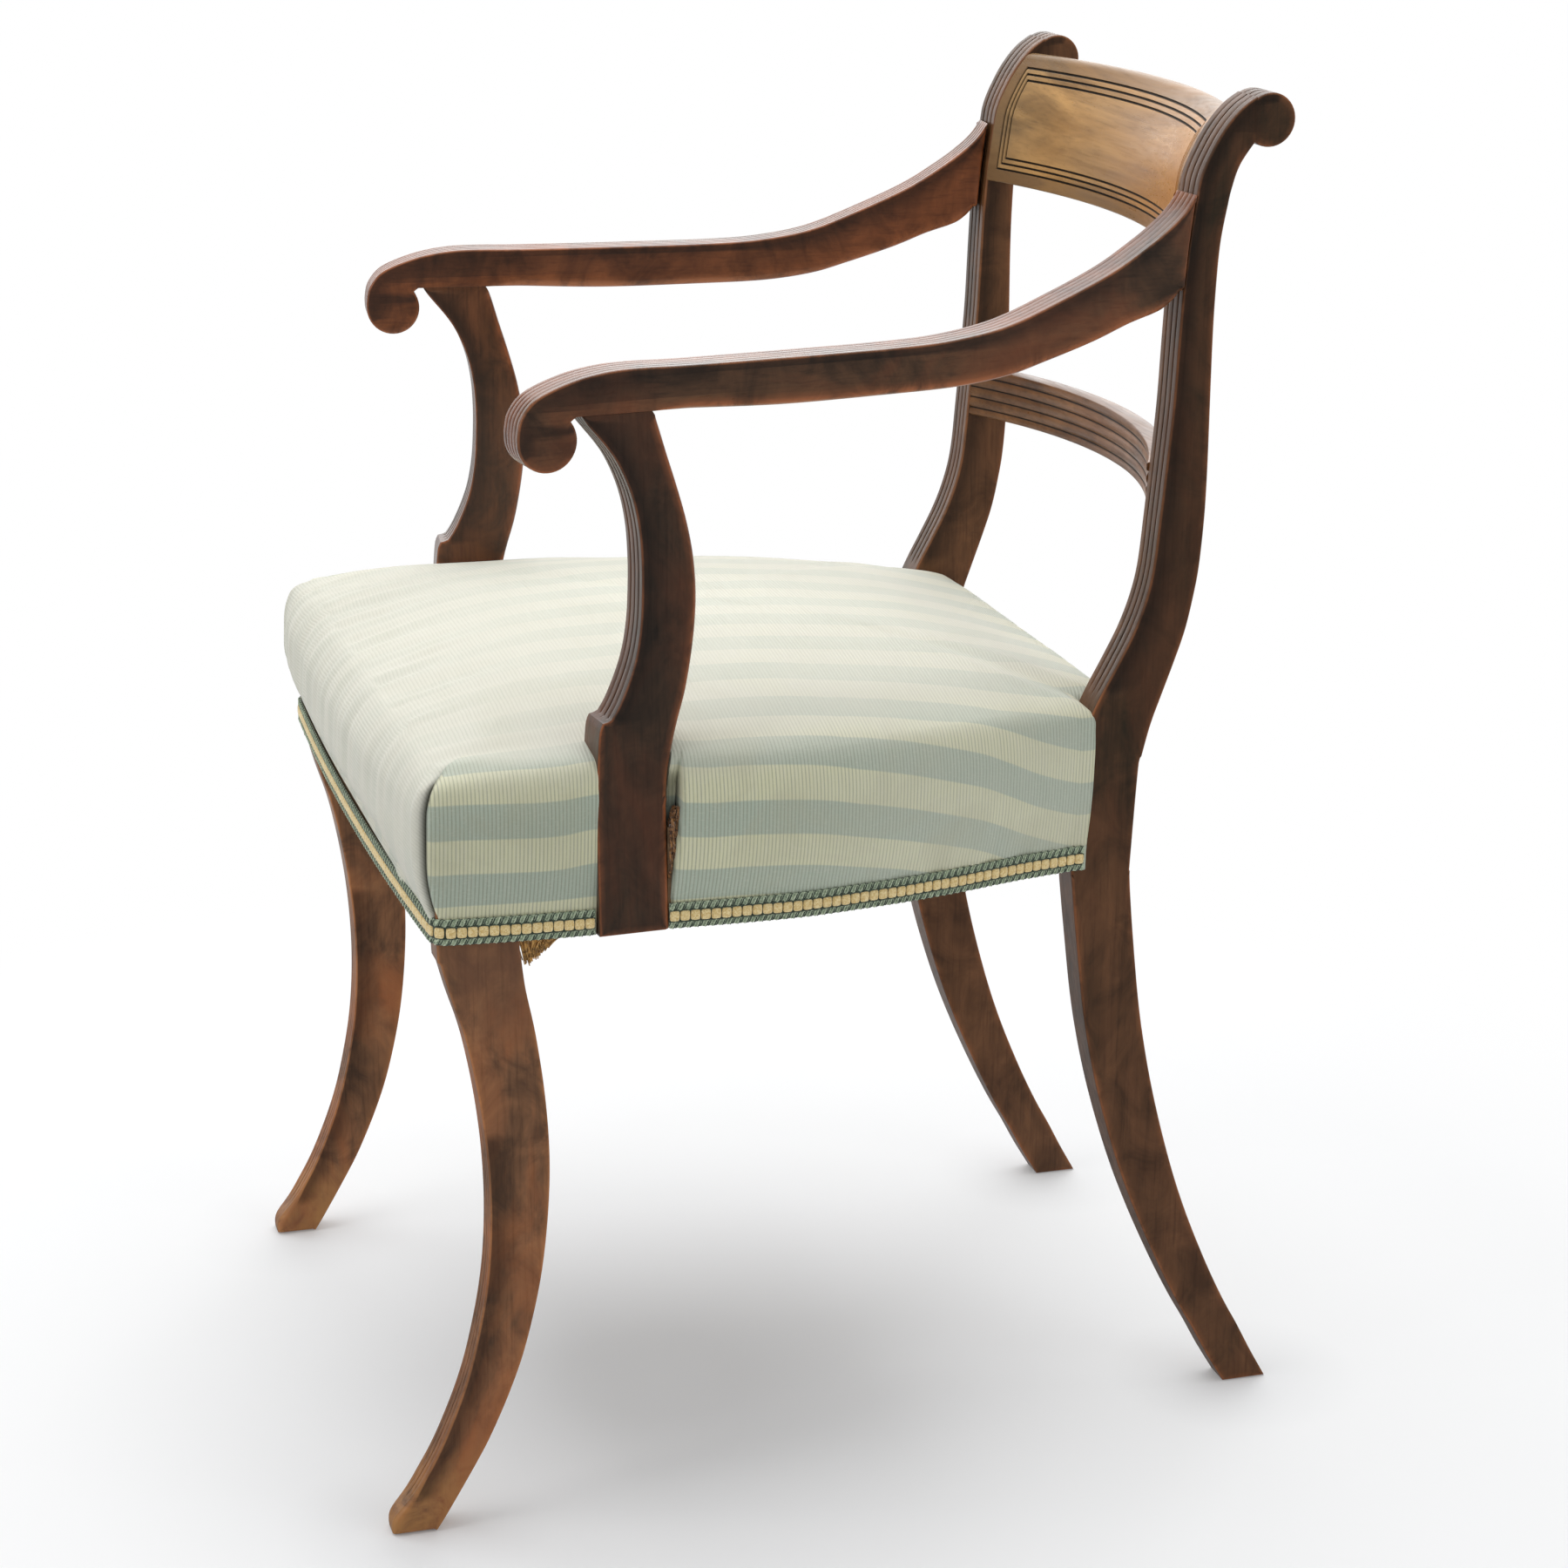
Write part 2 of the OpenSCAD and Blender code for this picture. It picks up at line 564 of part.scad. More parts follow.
// Places of the corner blocks' screws, one into each rail, in the seat's frame
// Shares of the block: distance of a screw from the corner, its length in the block, heights
block_screw_shares = [0.42, 0.25, 0.3, 0.7];
block_low_z = (rail_h - block_h) / 2;
block_screw_in = block_screw_shares[0] * block_l;
block_screw_l = screw_bite + block_screw_shares[1] * block_l;
block_screw_low_z = block_low_z + block_screw_shares[2] * block_h;
block_screw_high_z = block_low_z + block_screw_shares[3] * block_h;
module at_front_block_screws() {
    translate([rail_inner(rail_t) - block_screw_in, rail_t - screw_bite, block_screw_low_z])
        rotate([-90, 0, 0]) children();
    y = leg_d + block_screw_in / 2;
    translate([rail_inner(y) + screw_bite, y, block_screw_high_z])
        rotate([0, -90, 0]) children();
}

module at_back_block_screws() {
    translate([post_in - block_screw_in, back_rail_y + screw_bite, block_screw_low_z])
        rotate([90, 0, 0]) children();
    y = back_rail_y - block_screw_in;
    translate([rail_inner(y) + screw_bite, y, block_screw_high_z])
        rotate([0, -90, 0]) children();
}

// Two screws through a side rail into the foot of its support, in the chair's frame
support_screw_shares = [0.3, 0.72];
support_screw_set = support_set + support_d / 2;
support_screw_y = front_y + support_screw_set;
support_face_x = arm_front_w / 2 + support_splay - arm_t
    - (support_screw_y - scroll_y) * tan(arm_splay);
support_screw_l = arm_t / 2 + (support_face_x - rail_inner(support_screw_set)) / 2;
module at_support_screws() {
    for (s = support_screw_shares)
        translate([support_face_x + arm_t / 2, support_screw_y,
            rail_z + s * rail_h - support_screw_set * sin(seat_fall)])
            rotate([0, -90, 0]) children();
}

module left_back_post() {
    color(wood_dark) difference() {
        intersection() {
            union() {
                board(post_outline, post_in - overrun, post_out_top + overrun);
                translate([post_in - overrun, post_scroll_y, post_scroll_z])
                    rotate([0, 90, 0])
                        cylinder(r = post_scroll_r, h = post_top_t + 2 * overrun);
            }
            front_view([
                [back_half - post_foot_t, 0], [back_half, 0], [back_half, back_rail_top_z],
                [post_out_top, back_h], [post_in, back_h], [post_in, back_rail_z]]);
        }
        grooves(between(post_front_line, post_reed_z, back_h), post_in,
            (post_t + post_top_t) / 2, reeds);
        seat_frame() side_back_tenon(fit_gap);
        seat_frame() back_tenon(fit_gap);
        mid_tenon(fit_gap);
        crest_dowels_at(fit_gap);
        arm_dowel_at(fit_gap);
    }
}

module right_back_post() {
    mirror([1, 0, 0]) left_back_post();
}

module left_front_leg() {
    color(wood_leg) difference() {
        intersection() {
            board(leg_outline, leg_in - leg_lean - overrun, front_half + overrun);
            front_view([
                [leg_in - leg_lean, 0], [front_half - leg_lean, 0],
                [front_half, leg_straight_z], [front_half, rail_top_z + overrun],
                [leg_in, rail_top_z + overrun], [leg_in, leg_straight_z]]);
        }
        over_rails();
        grooves(
            between(leg_front_line, rail_z * leg_reed_shares[0], rail_z * leg_reed_shares[1]),
            leg_in - leg_lean * (1 - leg_reed_shares[1] / 2), leg_t, reeds);
        seat_frame() side_front_tenon(fit_gap);
        seat_frame() front_tenon(fit_gap);
    }
}

module right_front_leg() {
    mirror([1, 0, 0]) left_front_leg();
}

module front_seat_rail() {
    color(wood_plain) seat_frame() difference() {
        union() {
            linear_extrude(rail_h) intersection() {
                polygon(seat_outline);
                translate([-leg_in, -front_bow]) square([2 * leg_in, front_bow + rail_t]);
            }
            both_sides() front_tenon();
        }
        both_sides() at_front_block_screws() screw_hole(block_screw_l, block_l);
    }
}

module back_seat_rail() {
    color(wood_plain) seat_frame() difference() {
        union() {
            translate([-post_in, back_rail_y, 0]) cube([2 * post_in, rail_t, rail_h]);
            both_sides() back_tenon();
        }
        both_sides() at_back_block_screws() screw_hole(block_screw_l, block_l);
    }
}

// A support seen from the front, with its outer face moved out
function support_lean(z) = support_splay * (arm_z - z) / (arm_z - rail_z);
function support_view(out) = [
    [support_lean(support_low_z) - arm_t, support_low_z],
    [support_lean(support_low_z) + out, support_low_z], [out, arm_z], [-arm_t, arm_z]];

module support_housing() {
    front = support_front_y - fit_gap;
    back = support_back_y + fit_gap;
    arm_frame() intersection() {
        board([
            [front, support_low_z], [back, support_low_z],
            [back, support_curve_z], [front, support_curve_z]], -2 * arm_t, 2 * arm_t);
        front_view(support_view(arm_t));
    }
}

module left_seat_rail() {
    color(wood_plain) difference() {
        union() {
            intersection() {
                seat_frame() linear_extrude(rail_h) intersection() {
                    polygon(seat_outline);
                    polygon([
                        [rail_inner(rail_t), rail_t], [seat_front_w, rail_t],
                        [seat_front_w, back_rail_y], [rail_inner(back_rail_y), back_rail_y]]);
                }
                translate([0, leg_back_y, 0]) cube([seat_front_w, post_y - leg_back_y, back_h]);
            }
            seat_frame() side_front_tenon();
            seat_frame() side_back_tenon();
        }
        support_housing();
        at_support_screws() screw_hole(support_screw_l, rail_t);
        seat_frame() at_front_block_screws() screw_hole(block_screw_l, block_l);
        seat_frame() at_back_block_screws() screw_hole(block_screw_l, block_l);
    }
}

module right_seat_rail() {
    mirror([1, 0, 0]) left_seat_rail();
}

// The reeds of a support run up the curved part of its front, and lean with it
support_reed_z = support_point(support_front_shares[2])[1];
module support_grooves() {
    translate([0, 0, arm_z]) rotate([0, -atan(support_splay / (arm_z - rail_z)), 0])
        translate([0, 0, -arm_z])
            grooves(between(support_front_line, support_reed_z, arm_z + groove_d), -arm_t,
                arm_t, reeds);
}

module left_arm_support() {
    color(wood_mid) difference() {
        arm_frame() difference() {
            union() {
                intersection() {
                    board(support_outline, -2 * arm_t, arm_t);
                    front_view(support_view(0));
                }
                support_tenon();
            }
            support_grooves();
        }
        under_rails();
        at_support_screws() screw_hole(support_screw_l, rail_t);
    }
}

module right_arm_support() {
    mirror([1, 0, 0]) left_arm_support();
}

module left_arm() {
    color(wood_mid) difference() {
        arm_frame() difference() {
            union() {
                board(arm_outline, -arm_t, 0);
                translate([-arm_t, 0, scroll_z]) rotate([0, 90, 0])
                    cylinder(r = arm_scroll_r, h = arm_t);
            }
            grooves(arm_groove_line, -arm_t, arm_t, arm_reeds);
            support_tenon(fit_gap);
        }
        board(post_outline, 0, seat_back_w);
        arm_dowel_at(fit_gap);
    }
}

module right_arm() {
    mirror([1, 0, 0]) left_arm();
}

// A bowed rail: its section, with y as the radius, turned about an upright axis in front
function bow_radius(bow) = (post_in * post_in + bow * bow) / (2 * bow);
module bowed(radius, middle_y) {
    reach = asin(min(1, (post_in + overrun) / radius));
    intersection() {
        translate([0, middle_y - radius, 0]) rotate([0, 0, 90 - reach])
            rotate_extrude(angle = 2 * reach, $fn = bow_fn) children();
        translate([-post_in, -back_h, 0]) cube([2 * post_in, 2 * back_h, 2 * back_h]);
    }
}

// The crest's section follows the front of the posts, with a rounded top
crest_top_z = crest_z + crest_h;
crest_nose_z = crest_top_z - crest_t / 2;
crest_slant = atan((place_at(post_front_line, crest_nose_z + line_pitch)
    - place_at(post_front_line, crest_nose_z - line_pitch)) / (2 * line_pitch));
crest_nose_r = crest_t / 2 * cos(crest_slant);
crest_centre_z = crest_top_z - crest_nose_r;
crest_nose_rise = crest_nose_r * sin(crest_slant);
crest_radius = bow_radius(crest_bow);
crest_low_y = place_at(post_front_line, crest_z);
function crest_face(low, high) = concat(
    [[place_at(post_front_line, low), low]],
    between(post_front_line, low + groove_w, high - groove_w),
    [[place_at(post_front_line, high), high]]);
crest_front = crest_face(crest_z, crest_centre_z + crest_nose_rise);
crest_back = crest_face(crest_z, crest_centre_z - crest_nose_rise);
crest_centre_y = place_at(post_front_line, crest_centre_z) + crest_t / 2;
crest_nose_steps = 12;
crest_nose = [for (k = [1 : crest_nose_steps - 1])
    let (a = 180 - crest_slant - k * 180 / crest_nose_steps)
    [crest_centre_y + crest_nose_r * cos(a), crest_centre_z + crest_nose_r * sin(a)]];
function as_radius(points, shift) =
    [for (p = points) [p[0] - crest_low_y + crest_radius + shift, p[1]]];

module crest_section() {
    polygon(concat(
        as_radius(crest_front, 0), as_radius(crest_nose, 0),
        as_radius(reversed(crest_back), crest_t)));
}

module crest_skin() {
    polygon(concat(as_radius(crest_front, -crest_t), as_radius(reversed(crest_front), line_d)));
}

module crest_box(inset) {
    translate([inset - post_in, 0, crest_z + inset])
        cube([2 * (post_in - inset), seat_d, crest_h - 2 * inset]);
}

module crest_rail() {
    color(wood_face) difference() {
        bowed(crest_radius, crest_low_y + crest_bow) crest_section();
        for (k = [0 : line_count - 1])
            intersection() {
                bowed(crest_radius, crest_low_y + crest_bow) crest_skin();
                difference() {
                    crest_box(crest_border + k * line_pitch);
                    crest_box(crest_border + k * line_pitch + line_w);
                }
            }
        both_sides() crest_dowels_at(fit_gap);
    }
}

// The mid rail's section: a flat fillet over rounded reeds, with part of a reed under them
mid_radius = bow_radius(mid_bow);
mid_reed_r = (mid_reed_h * mid_reed_h / 4 + mid_reed_rise * mid_reed_rise) / (2 * mid_reed_rise);
module mid_section() {
    translate([mid_radius + mid_reed_rise, mid_z]) square([mid_t - mid_reed_rise, mid_h]);
    translate([mid_radius, mid_z + mid_h - mid_fillet_h]) square([mid_t / 2, mid_fillet_h]);
    intersection() {
        translate([mid_radius, mid_z]) square([mid_t / 2, mid_h]);
        for (k = [0 : mid_reeds])
            translate([mid_radius + mid_reed_r, mid_z + (k + mid_low_share - 0.5) * mid_reed_h])
                circle(r = mid_reed_r, $fn = reed_fn);
    }
}

module mid_rail() {
    color(wood_mid) union() {
        bowed(mid_radius, mid_front_y + mid_bow) mid_section();
        both_sides() mid_tenon();
    }
}

module crest_dowels() {
    color(wood_plain) both_sides() crest_dowels_at();
}

module arm_dowels() {
    color(wood_plain) both_sides() arm_dowel_at();
}

module left_front_block() {
    color(wood_plain) seat_frame() difference() {
        translate([0, 0, block_low_z]) linear_extrude(block_h) polygon([
            [rail_inner(leg_d) - block_l, rail_t], [rail_inner(leg_d), rail_t],
            [rail_inner(leg_d), leg_d], [rail_inner(rail_t + block_l), rail_t + block_l]]);
        at_front_block_screws() screw_hole(block_screw_l, block_l);
    }
}

module right_front_block() {
    mirror([1, 0, 0]) left_front_block();
}

module left_back_block() {
    color(wood_plain) seat_frame() difference() {
        translate([0, 0, block_low_z]) linear_extrude(block_h) polygon([
            [post_in - block_l, back_rail_y],
            [rail_inner(back_rail_y - block_l), back_rail_y - block_l],
            [post_in, seat_d], [post_in, back_rail_y]]);
        at_back_block_screws() screw_hole(block_screw_l, block_l);
    }
}

module right_back_block() {
    mirror([1, 0, 0]) left_back_block();
}

module corner_block_screws() {
    color(steel) seat_frame() both_sides() {
        at_front_block_screws() screw(block_screw_l);
        at_back_block_screws() screw(block_screw_l);
    }
}

module arm_support_screws() {
    color(steel) both_sides() at_support_screws() screw(support_screw_l);
}

// Webbing, nailed on top of the rails
web_land = rail_t / 2;
module webbing_lengthwise() {
    span = 2 * (post_in - web_w / 2 - web_land);
    color(jute) seat_frame() for (k = [0 : web_count - 1])
        translate([-span / 2 + k * span / (web_count - 1) - web_w / 2, web_land, web_z])
            cube([web_w, back_rail_y, web_t]);
}

module webbing_crosswise() {
    first = leg_d + web_w / 2;
    span = back_rail_y - web_w / 2 - web_land - first;
    color(jute) seat_frame() for (k = [0 : web_count - 1]) {
        y = first + k * span / (web_count - 1);
        half = rail_inner(y + web_w / 2) + web_land / 2;
        translate([-half, y - web_w / 2, web_z + web_t]) cube([2 * half, web_w, web_t]);
    }
}

module hessian() {
    half = [
        [rail_inner(rail_t) + web_land / 2, web_land],
        [rail_inner(seat_d) - web_land / 2, seat_d],
        [post_in - web_land / 2, back_rail_y + web_land]];
    color(jute) seat_frame() translate([0, 0, hessian_z]) linear_extrude(hessian_t)
        polygon(concat(half, mirrored(half)));
}

// The stuffing and the cover are rings of points that follow the plan of the seat
function corner_share(p) =
    pow(min(1, abs(p[0]) / front_half), 4)
        * pow(min(1, abs(p[1] - seat_middle[1]) / seat_middle[1]), 4);
function ring_point(i, out, bulge, plan, z, dip) =
    let (
        p = seat_outline[i],
        q = seat_middle + plan * (p - seat_middle),
        r = q + (out + bulge * (1 - drawn_in_share * corner_share(p))) * mitre(seat_outline, i))
    [r[0], r[1], z - dip * corner_share(p)];
function ring(out, bulge, plan, z, dip) =
    [for (i = [0 : len(seat_outline) - 1]) ring_point(i, out, bulge, plan, z, dip)];
function pad_rings(out) = [for (row = pad_shares)
    ring(out, row[1] * swell, row[2], pad_z + out + row[0] * stuffing_h + row[3] * crown_h,
        row[0] * row[2] * corner_dip)];
function crown_z(out) = pad_z + out + stuffing_h + crown_h;

// A skin over rings with as many points each, from one to the next, and a cap to a tip
function skin_faces(first, count, rings) = [
    for (r = [0 : rings - 2]) for (i = [0 : count - 1])
        let (
            a = first + r * count + i,
            b = first + r * count + (i + 1) % count,
            c = a + count,
            d = b + count)
        each [[a, c, b], [b, c, d]]];
function cap_faces(first, count, tip) =
    [for (i = [0 : count - 1]) [first + i, tip, first + (i + 1) % count]];
function flipped(faces) = [for (f = faces) [f[0], f[2], f[1]]];

module stuffing_form() {
    rings = pad_rings(0);
    count = len(seat_outline);
    points = concat(
        [for (r = rings) each r],
        [[seat_middle[0], seat_middle[1], pad_z], [seat_middle[0], seat_middle[1], crown_z(0)]]);
    polyhedron(points, concat(
        skin_faces(0, count, len(rings)),
        flipped(cap_faces(0, count, len(points) - 2)),
        cap_faces((len(rings) - 1) * count, count, len(points) - 1)));
}

module cover_form() {
    count = len(seat_outline);
    outer = concat(
        [ring(cover_t, 0, 1, 0, 0)],
        [for (s = cover_low_shares)
            ring(cover_t, s[1] * swell, 1, braid_h + s[0] * (rail_h - braid_h), 0)],
        pad_rings(cover_t));
    inner = concat([ring(0, 0, 1, 0, 0), ring(0, 0, 1, rail_h, 0)], pad_rings(0));
    start = len(outer) * count;
    end = start + len(inner) * count;
    points = concat(
        [for (r = outer) each r], [for (r = inner) each r],
        [[seat_middle[0], seat_middle[1], crown_z(cover_t)],
        [seat_middle[0], seat_middle[1], crown_z(0)]]);
    hem = [for (i = [0 : count - 1])
        let (j = (i + 1) % count)
        each [[i, j, start + i], [j, start + j, start + i]]];
    polyhedron(points, concat(
        skin_faces(0, count, len(outer)),
        cap_faces(start - count, count, end),
        flipped(skin_faces(start, count, len(inner))),
        flipped(cap_faces(end - count, count, end + 1)),
        hem));
}

// The posts and supports as the upholstery is cut for them
module upholstery_cuts() {
    low = back_rail_z - rail_h;
    high = back_rail_top_z + stuffing_h + 2 * rail_h;
    both_sides() {
        board(concat(
            [for (p = between(post_front_line, low, high)) p - [cloth_gap, 0]],
            [[seat_d, high], [seat_d, low]]),
            post_in - cloth_gap, back_half + cloth_gap);
        arm_frame() intersection() {
            board(grown(reversed(support_outline), cloth_gap), -2 * arm_t, 3 * arm_t);
            translate([-cloth_gap, 0, 0]) front_view(support_view(2 * arm_t));
        }
    }
}

module stuffing() {
    color(jute) difference() {
        seat_frame() stuffing_form();
        upholstery_cuts();
    }
}

module seat_cover() {
    color(fabric) difference() {
        seat_frame() cover_form();
        upholstery_cuts();
    }
}

// The braid runs round the foot of the cover, in four pieces between the posts and supports
module braid_band() {
    seat_frame() linear_extrude(braid_h) difference() {
        polygon(grown(seat_outline, cover_t + braid_t));
        polygon(grown(seat_outline, cover_t));
    }
}

module braid_front() {
    color(braid_gold) difference() {
        intersection() {
            braid_band();
            translate([-seat_front_w, front_y - leg_d, rail_z - rail_h])
                cube([2 * seat_front_w, leg_d + support_screw_set, 2 * rail_h]);
        }
        upholstery_cuts();
    }
}

module left_side_braid() {
    color(braid_gold) difference() {
        intersection() {
            braid_band();
            translate([0, support_screw_y, rail_z - rail_h])
                cube([seat_front_w, seat_d + post_lap - support_screw_set - cover_t,
                    2 * rail_h]);
        }
        upholstery_cuts();
    }
}

module right_side_braid() {
    mirror([1, 0, 0]) left_side_braid();
}

module back_braid() {
    color(braid_gold) intersection() {
        braid_band();
        translate([-seat_back_x, post_y + rail_t, rail_z - rail_h])
            cube([2 * seat_back_x, rail_t, 2 * rail_h]);
    }
}

// Loose fibres that hang from the side rail behind the left front leg
tuft_fan = 40;
// How much shorter its outer strands are
tuft_taper_share = 0.4;
module hanging_tuft() {
    color(jute) seat_frame() for (k = [0 : tuft_strands - 1]) {
        s = k / (tuft_strands - 1) - 0.5;
        translate([rail_inner(tuft_set) + rail_t / 2, tuft_set + s * tuft_w / 2, 0])
            rotate([180 + s * tuft_fan, 0, 0])
                cylinder(d1 = tuft_strand_d, d2 = tuft_strand_d / 3,
                    h = tuft_l * (1 - tuft_taper_share * abs(s)));
    }
}

left_back_post();
right_back_post();
left_front_leg();
right_front_leg();
front_seat_rail();
back_seat_rail();
left_seat_rail();
right_seat_rail();
left_front_block();
right_front_block();
left_back_block();
right_back_block();
corner_block_screws();
left_arm_support();
right_arm_support();
arm_support_screws();
left_arm();
right_arm();
arm_dowels();
crest_rail();
crest_dowels();
mid_rail();
webbing_lengthwise();
webbing_crosswise();
hessian();
stuffing();
seat_cover();
braid_front();
left_side_braid();
right_side_braid();
back_braid();
hanging_tuft();
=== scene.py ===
"""Looks of an elbow dining chair: sabre legs, scrolled arms, bowed rails and a striped seat.

Shapes are worked out in millimetres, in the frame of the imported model, and made in metres.
"""
import math
import random

import bmesh
import bpy
import numpy as np
from mathutils import Matrix, Vector, noise
from mathutils.geometry import tessellate_polygon

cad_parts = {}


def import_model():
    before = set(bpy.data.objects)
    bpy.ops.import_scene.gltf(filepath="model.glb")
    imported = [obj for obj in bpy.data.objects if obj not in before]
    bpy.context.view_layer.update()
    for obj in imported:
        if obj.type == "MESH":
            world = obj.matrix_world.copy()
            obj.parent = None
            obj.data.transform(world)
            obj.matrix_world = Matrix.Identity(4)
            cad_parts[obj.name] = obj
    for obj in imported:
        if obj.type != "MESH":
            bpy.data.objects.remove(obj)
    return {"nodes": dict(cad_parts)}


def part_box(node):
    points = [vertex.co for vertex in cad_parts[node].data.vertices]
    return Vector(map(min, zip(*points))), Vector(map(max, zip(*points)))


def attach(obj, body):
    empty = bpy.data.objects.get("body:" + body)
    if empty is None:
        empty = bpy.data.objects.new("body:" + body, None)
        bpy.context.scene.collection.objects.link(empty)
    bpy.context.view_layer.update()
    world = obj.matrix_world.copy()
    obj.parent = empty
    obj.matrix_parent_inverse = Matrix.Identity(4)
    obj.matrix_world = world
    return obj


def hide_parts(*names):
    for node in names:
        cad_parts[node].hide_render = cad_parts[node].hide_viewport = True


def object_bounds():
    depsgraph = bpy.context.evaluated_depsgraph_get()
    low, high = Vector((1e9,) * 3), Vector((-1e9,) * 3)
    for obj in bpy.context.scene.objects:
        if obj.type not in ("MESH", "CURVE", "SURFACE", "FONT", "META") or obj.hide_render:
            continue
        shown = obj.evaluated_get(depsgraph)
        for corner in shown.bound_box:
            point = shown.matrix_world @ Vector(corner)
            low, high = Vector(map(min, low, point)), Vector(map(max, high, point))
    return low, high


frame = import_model()
cad_box = [list(corner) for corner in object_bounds()]
random.seed(7)

MM = 0.001

# Driving dimensions, as in the part's source
SEAT_FRONT_HALF = 239.0
SEAT_BACK_HALF = 185.5
SEAT_D = 413.0
FRONT_BOW = 6.0
RAIL_Z = 382.0
RAIL_H = 62.0
RAIL_T = 29.0
SEAT_FALL = math.radians(1.5)
BACK_RAIL_SET = 4.0
LEG_T = 20.5
LEG_D = 49.0
POST_T = 25.0
POST_FOOT_T = 21.0
ARM_T = 25.0
ARM_Z = 685.0
ARM_SCROLL_R = 17.7
SCROLL_DROP = 13.0
REEDS = 4
ARM_REEDS = 5
CREST_Z = 750.0
CREST_H = 84.5
CREST_T = 19.0
CREST_BOW = 27.0
CREST_BORDER = 8.0
LINE_PITCH = 3.8
LINE_W = 1.8
LINE_D = 1.1
LINE_COUNT = 3
MID_Z = 588.0
MID_T = 14.0
MID_BOW = 38.0
MID_REED_H = 7.3
MID_REED_RISE = 1.3
MID_REEDS = 3
MID_LOW_SHARE = 0.74
MID_FILLET_H = 5.0
WEB_W = 50.0
WEB_T = 1.5
WEB_COUNT = 4
HESSIAN_T = 1.0
STUFFING_H = 40.0
CROWN_H = 32.0
SWELL = 10.0
CORNER_DIP = 8.0
COVER_T = 1.6
BRAID_H = 16.4
POST_LAP = 8.0
RAIL_TENON = 18.0
CLOTH_GAP = 0.3
DRAWN_IN = 0.6
SUPPORT_SET = 94.5
SUPPORT_D = 43.5
TUFT_SET = 74.0

POST_IN = SEAT_BACK_HALF - POST_T
BACK_RAIL_Z = RAIL_Z - SEAT_D * math.sin(SEAT_FALL)
BACK_RAIL_TOP_Z = BACK_RAIL_Z + RAIL_H
FRONT_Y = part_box("left_seat_rail")[0].y / MM - LEG_D + RAIL_TENON
PAD_Z = RAIL_H + 2 * WEB_T + HESSIAN_T
BACK_RAIL_Y = SEAT_D + BACK_RAIL_SET
SEAT_END_Y = BACK_RAIL_Y + RAIL_T
SEAT_MIDDLE = np.array([0.0, SEAT_D / 2])

UP = np.array([0.0, 0.0, 1.0])
BACKWARD = np.array([0.0, 1.0, 0.0])
SIDEWAYS = np.array([1.0, 0.0, 0.0])

# Camera: the photograph's viewing angle
PHOTO_SIDE = 1800
PHOTO_FOCAL = 4001.93
PHOTO_CENTRE = (867.55, 939.34)
VIEW_AZIMUTH = 73.651
VIEW_ELEVATION = 18.230
VIEW_ROLL = 0.159
VIEW_PLACE = (2.101, -0.617, 1.081)
SENSOR = 36.0


def make_camera():
    data = bpy.data.cameras.new("camera")
    data.sensor_width = SENSOR
    data.lens = PHOTO_FOCAL / PHOTO_SIDE * SENSOR
    data.shift_x = (PHOTO_SIDE / 2 - PHOTO_CENTRE[0]) / PHOTO_SIDE
    data.shift_y = (PHOTO_CENTRE[1] - PHOTO_SIDE / 2) / PHOTO_SIDE
    camera = bpy.data.objects.new("camera", data)
    bpy.context.scene.collection.objects.link(camera)
    turn = (Matrix.Rotation(math.radians(VIEW_AZIMUTH), 4, "Z")
            @ Matrix.Rotation(math.radians(90 - VIEW_ELEVATION), 4, "X")
            @ Matrix.Rotation(math.radians(VIEW_ROLL), 4, "Z"))
    camera.matrix_world = Matrix.Translation(VIEW_PLACE) @ turn
    bpy.context.scene.camera = camera


make_camera()


# Nodes of materials
def set_inputs(node, values):
    for key, value in values.items():
        if isinstance(value, bpy.types.NodeSocket):
            node.id_data.links.new(value, node.inputs[key])
        else:
            node.inputs[key].default_value = value


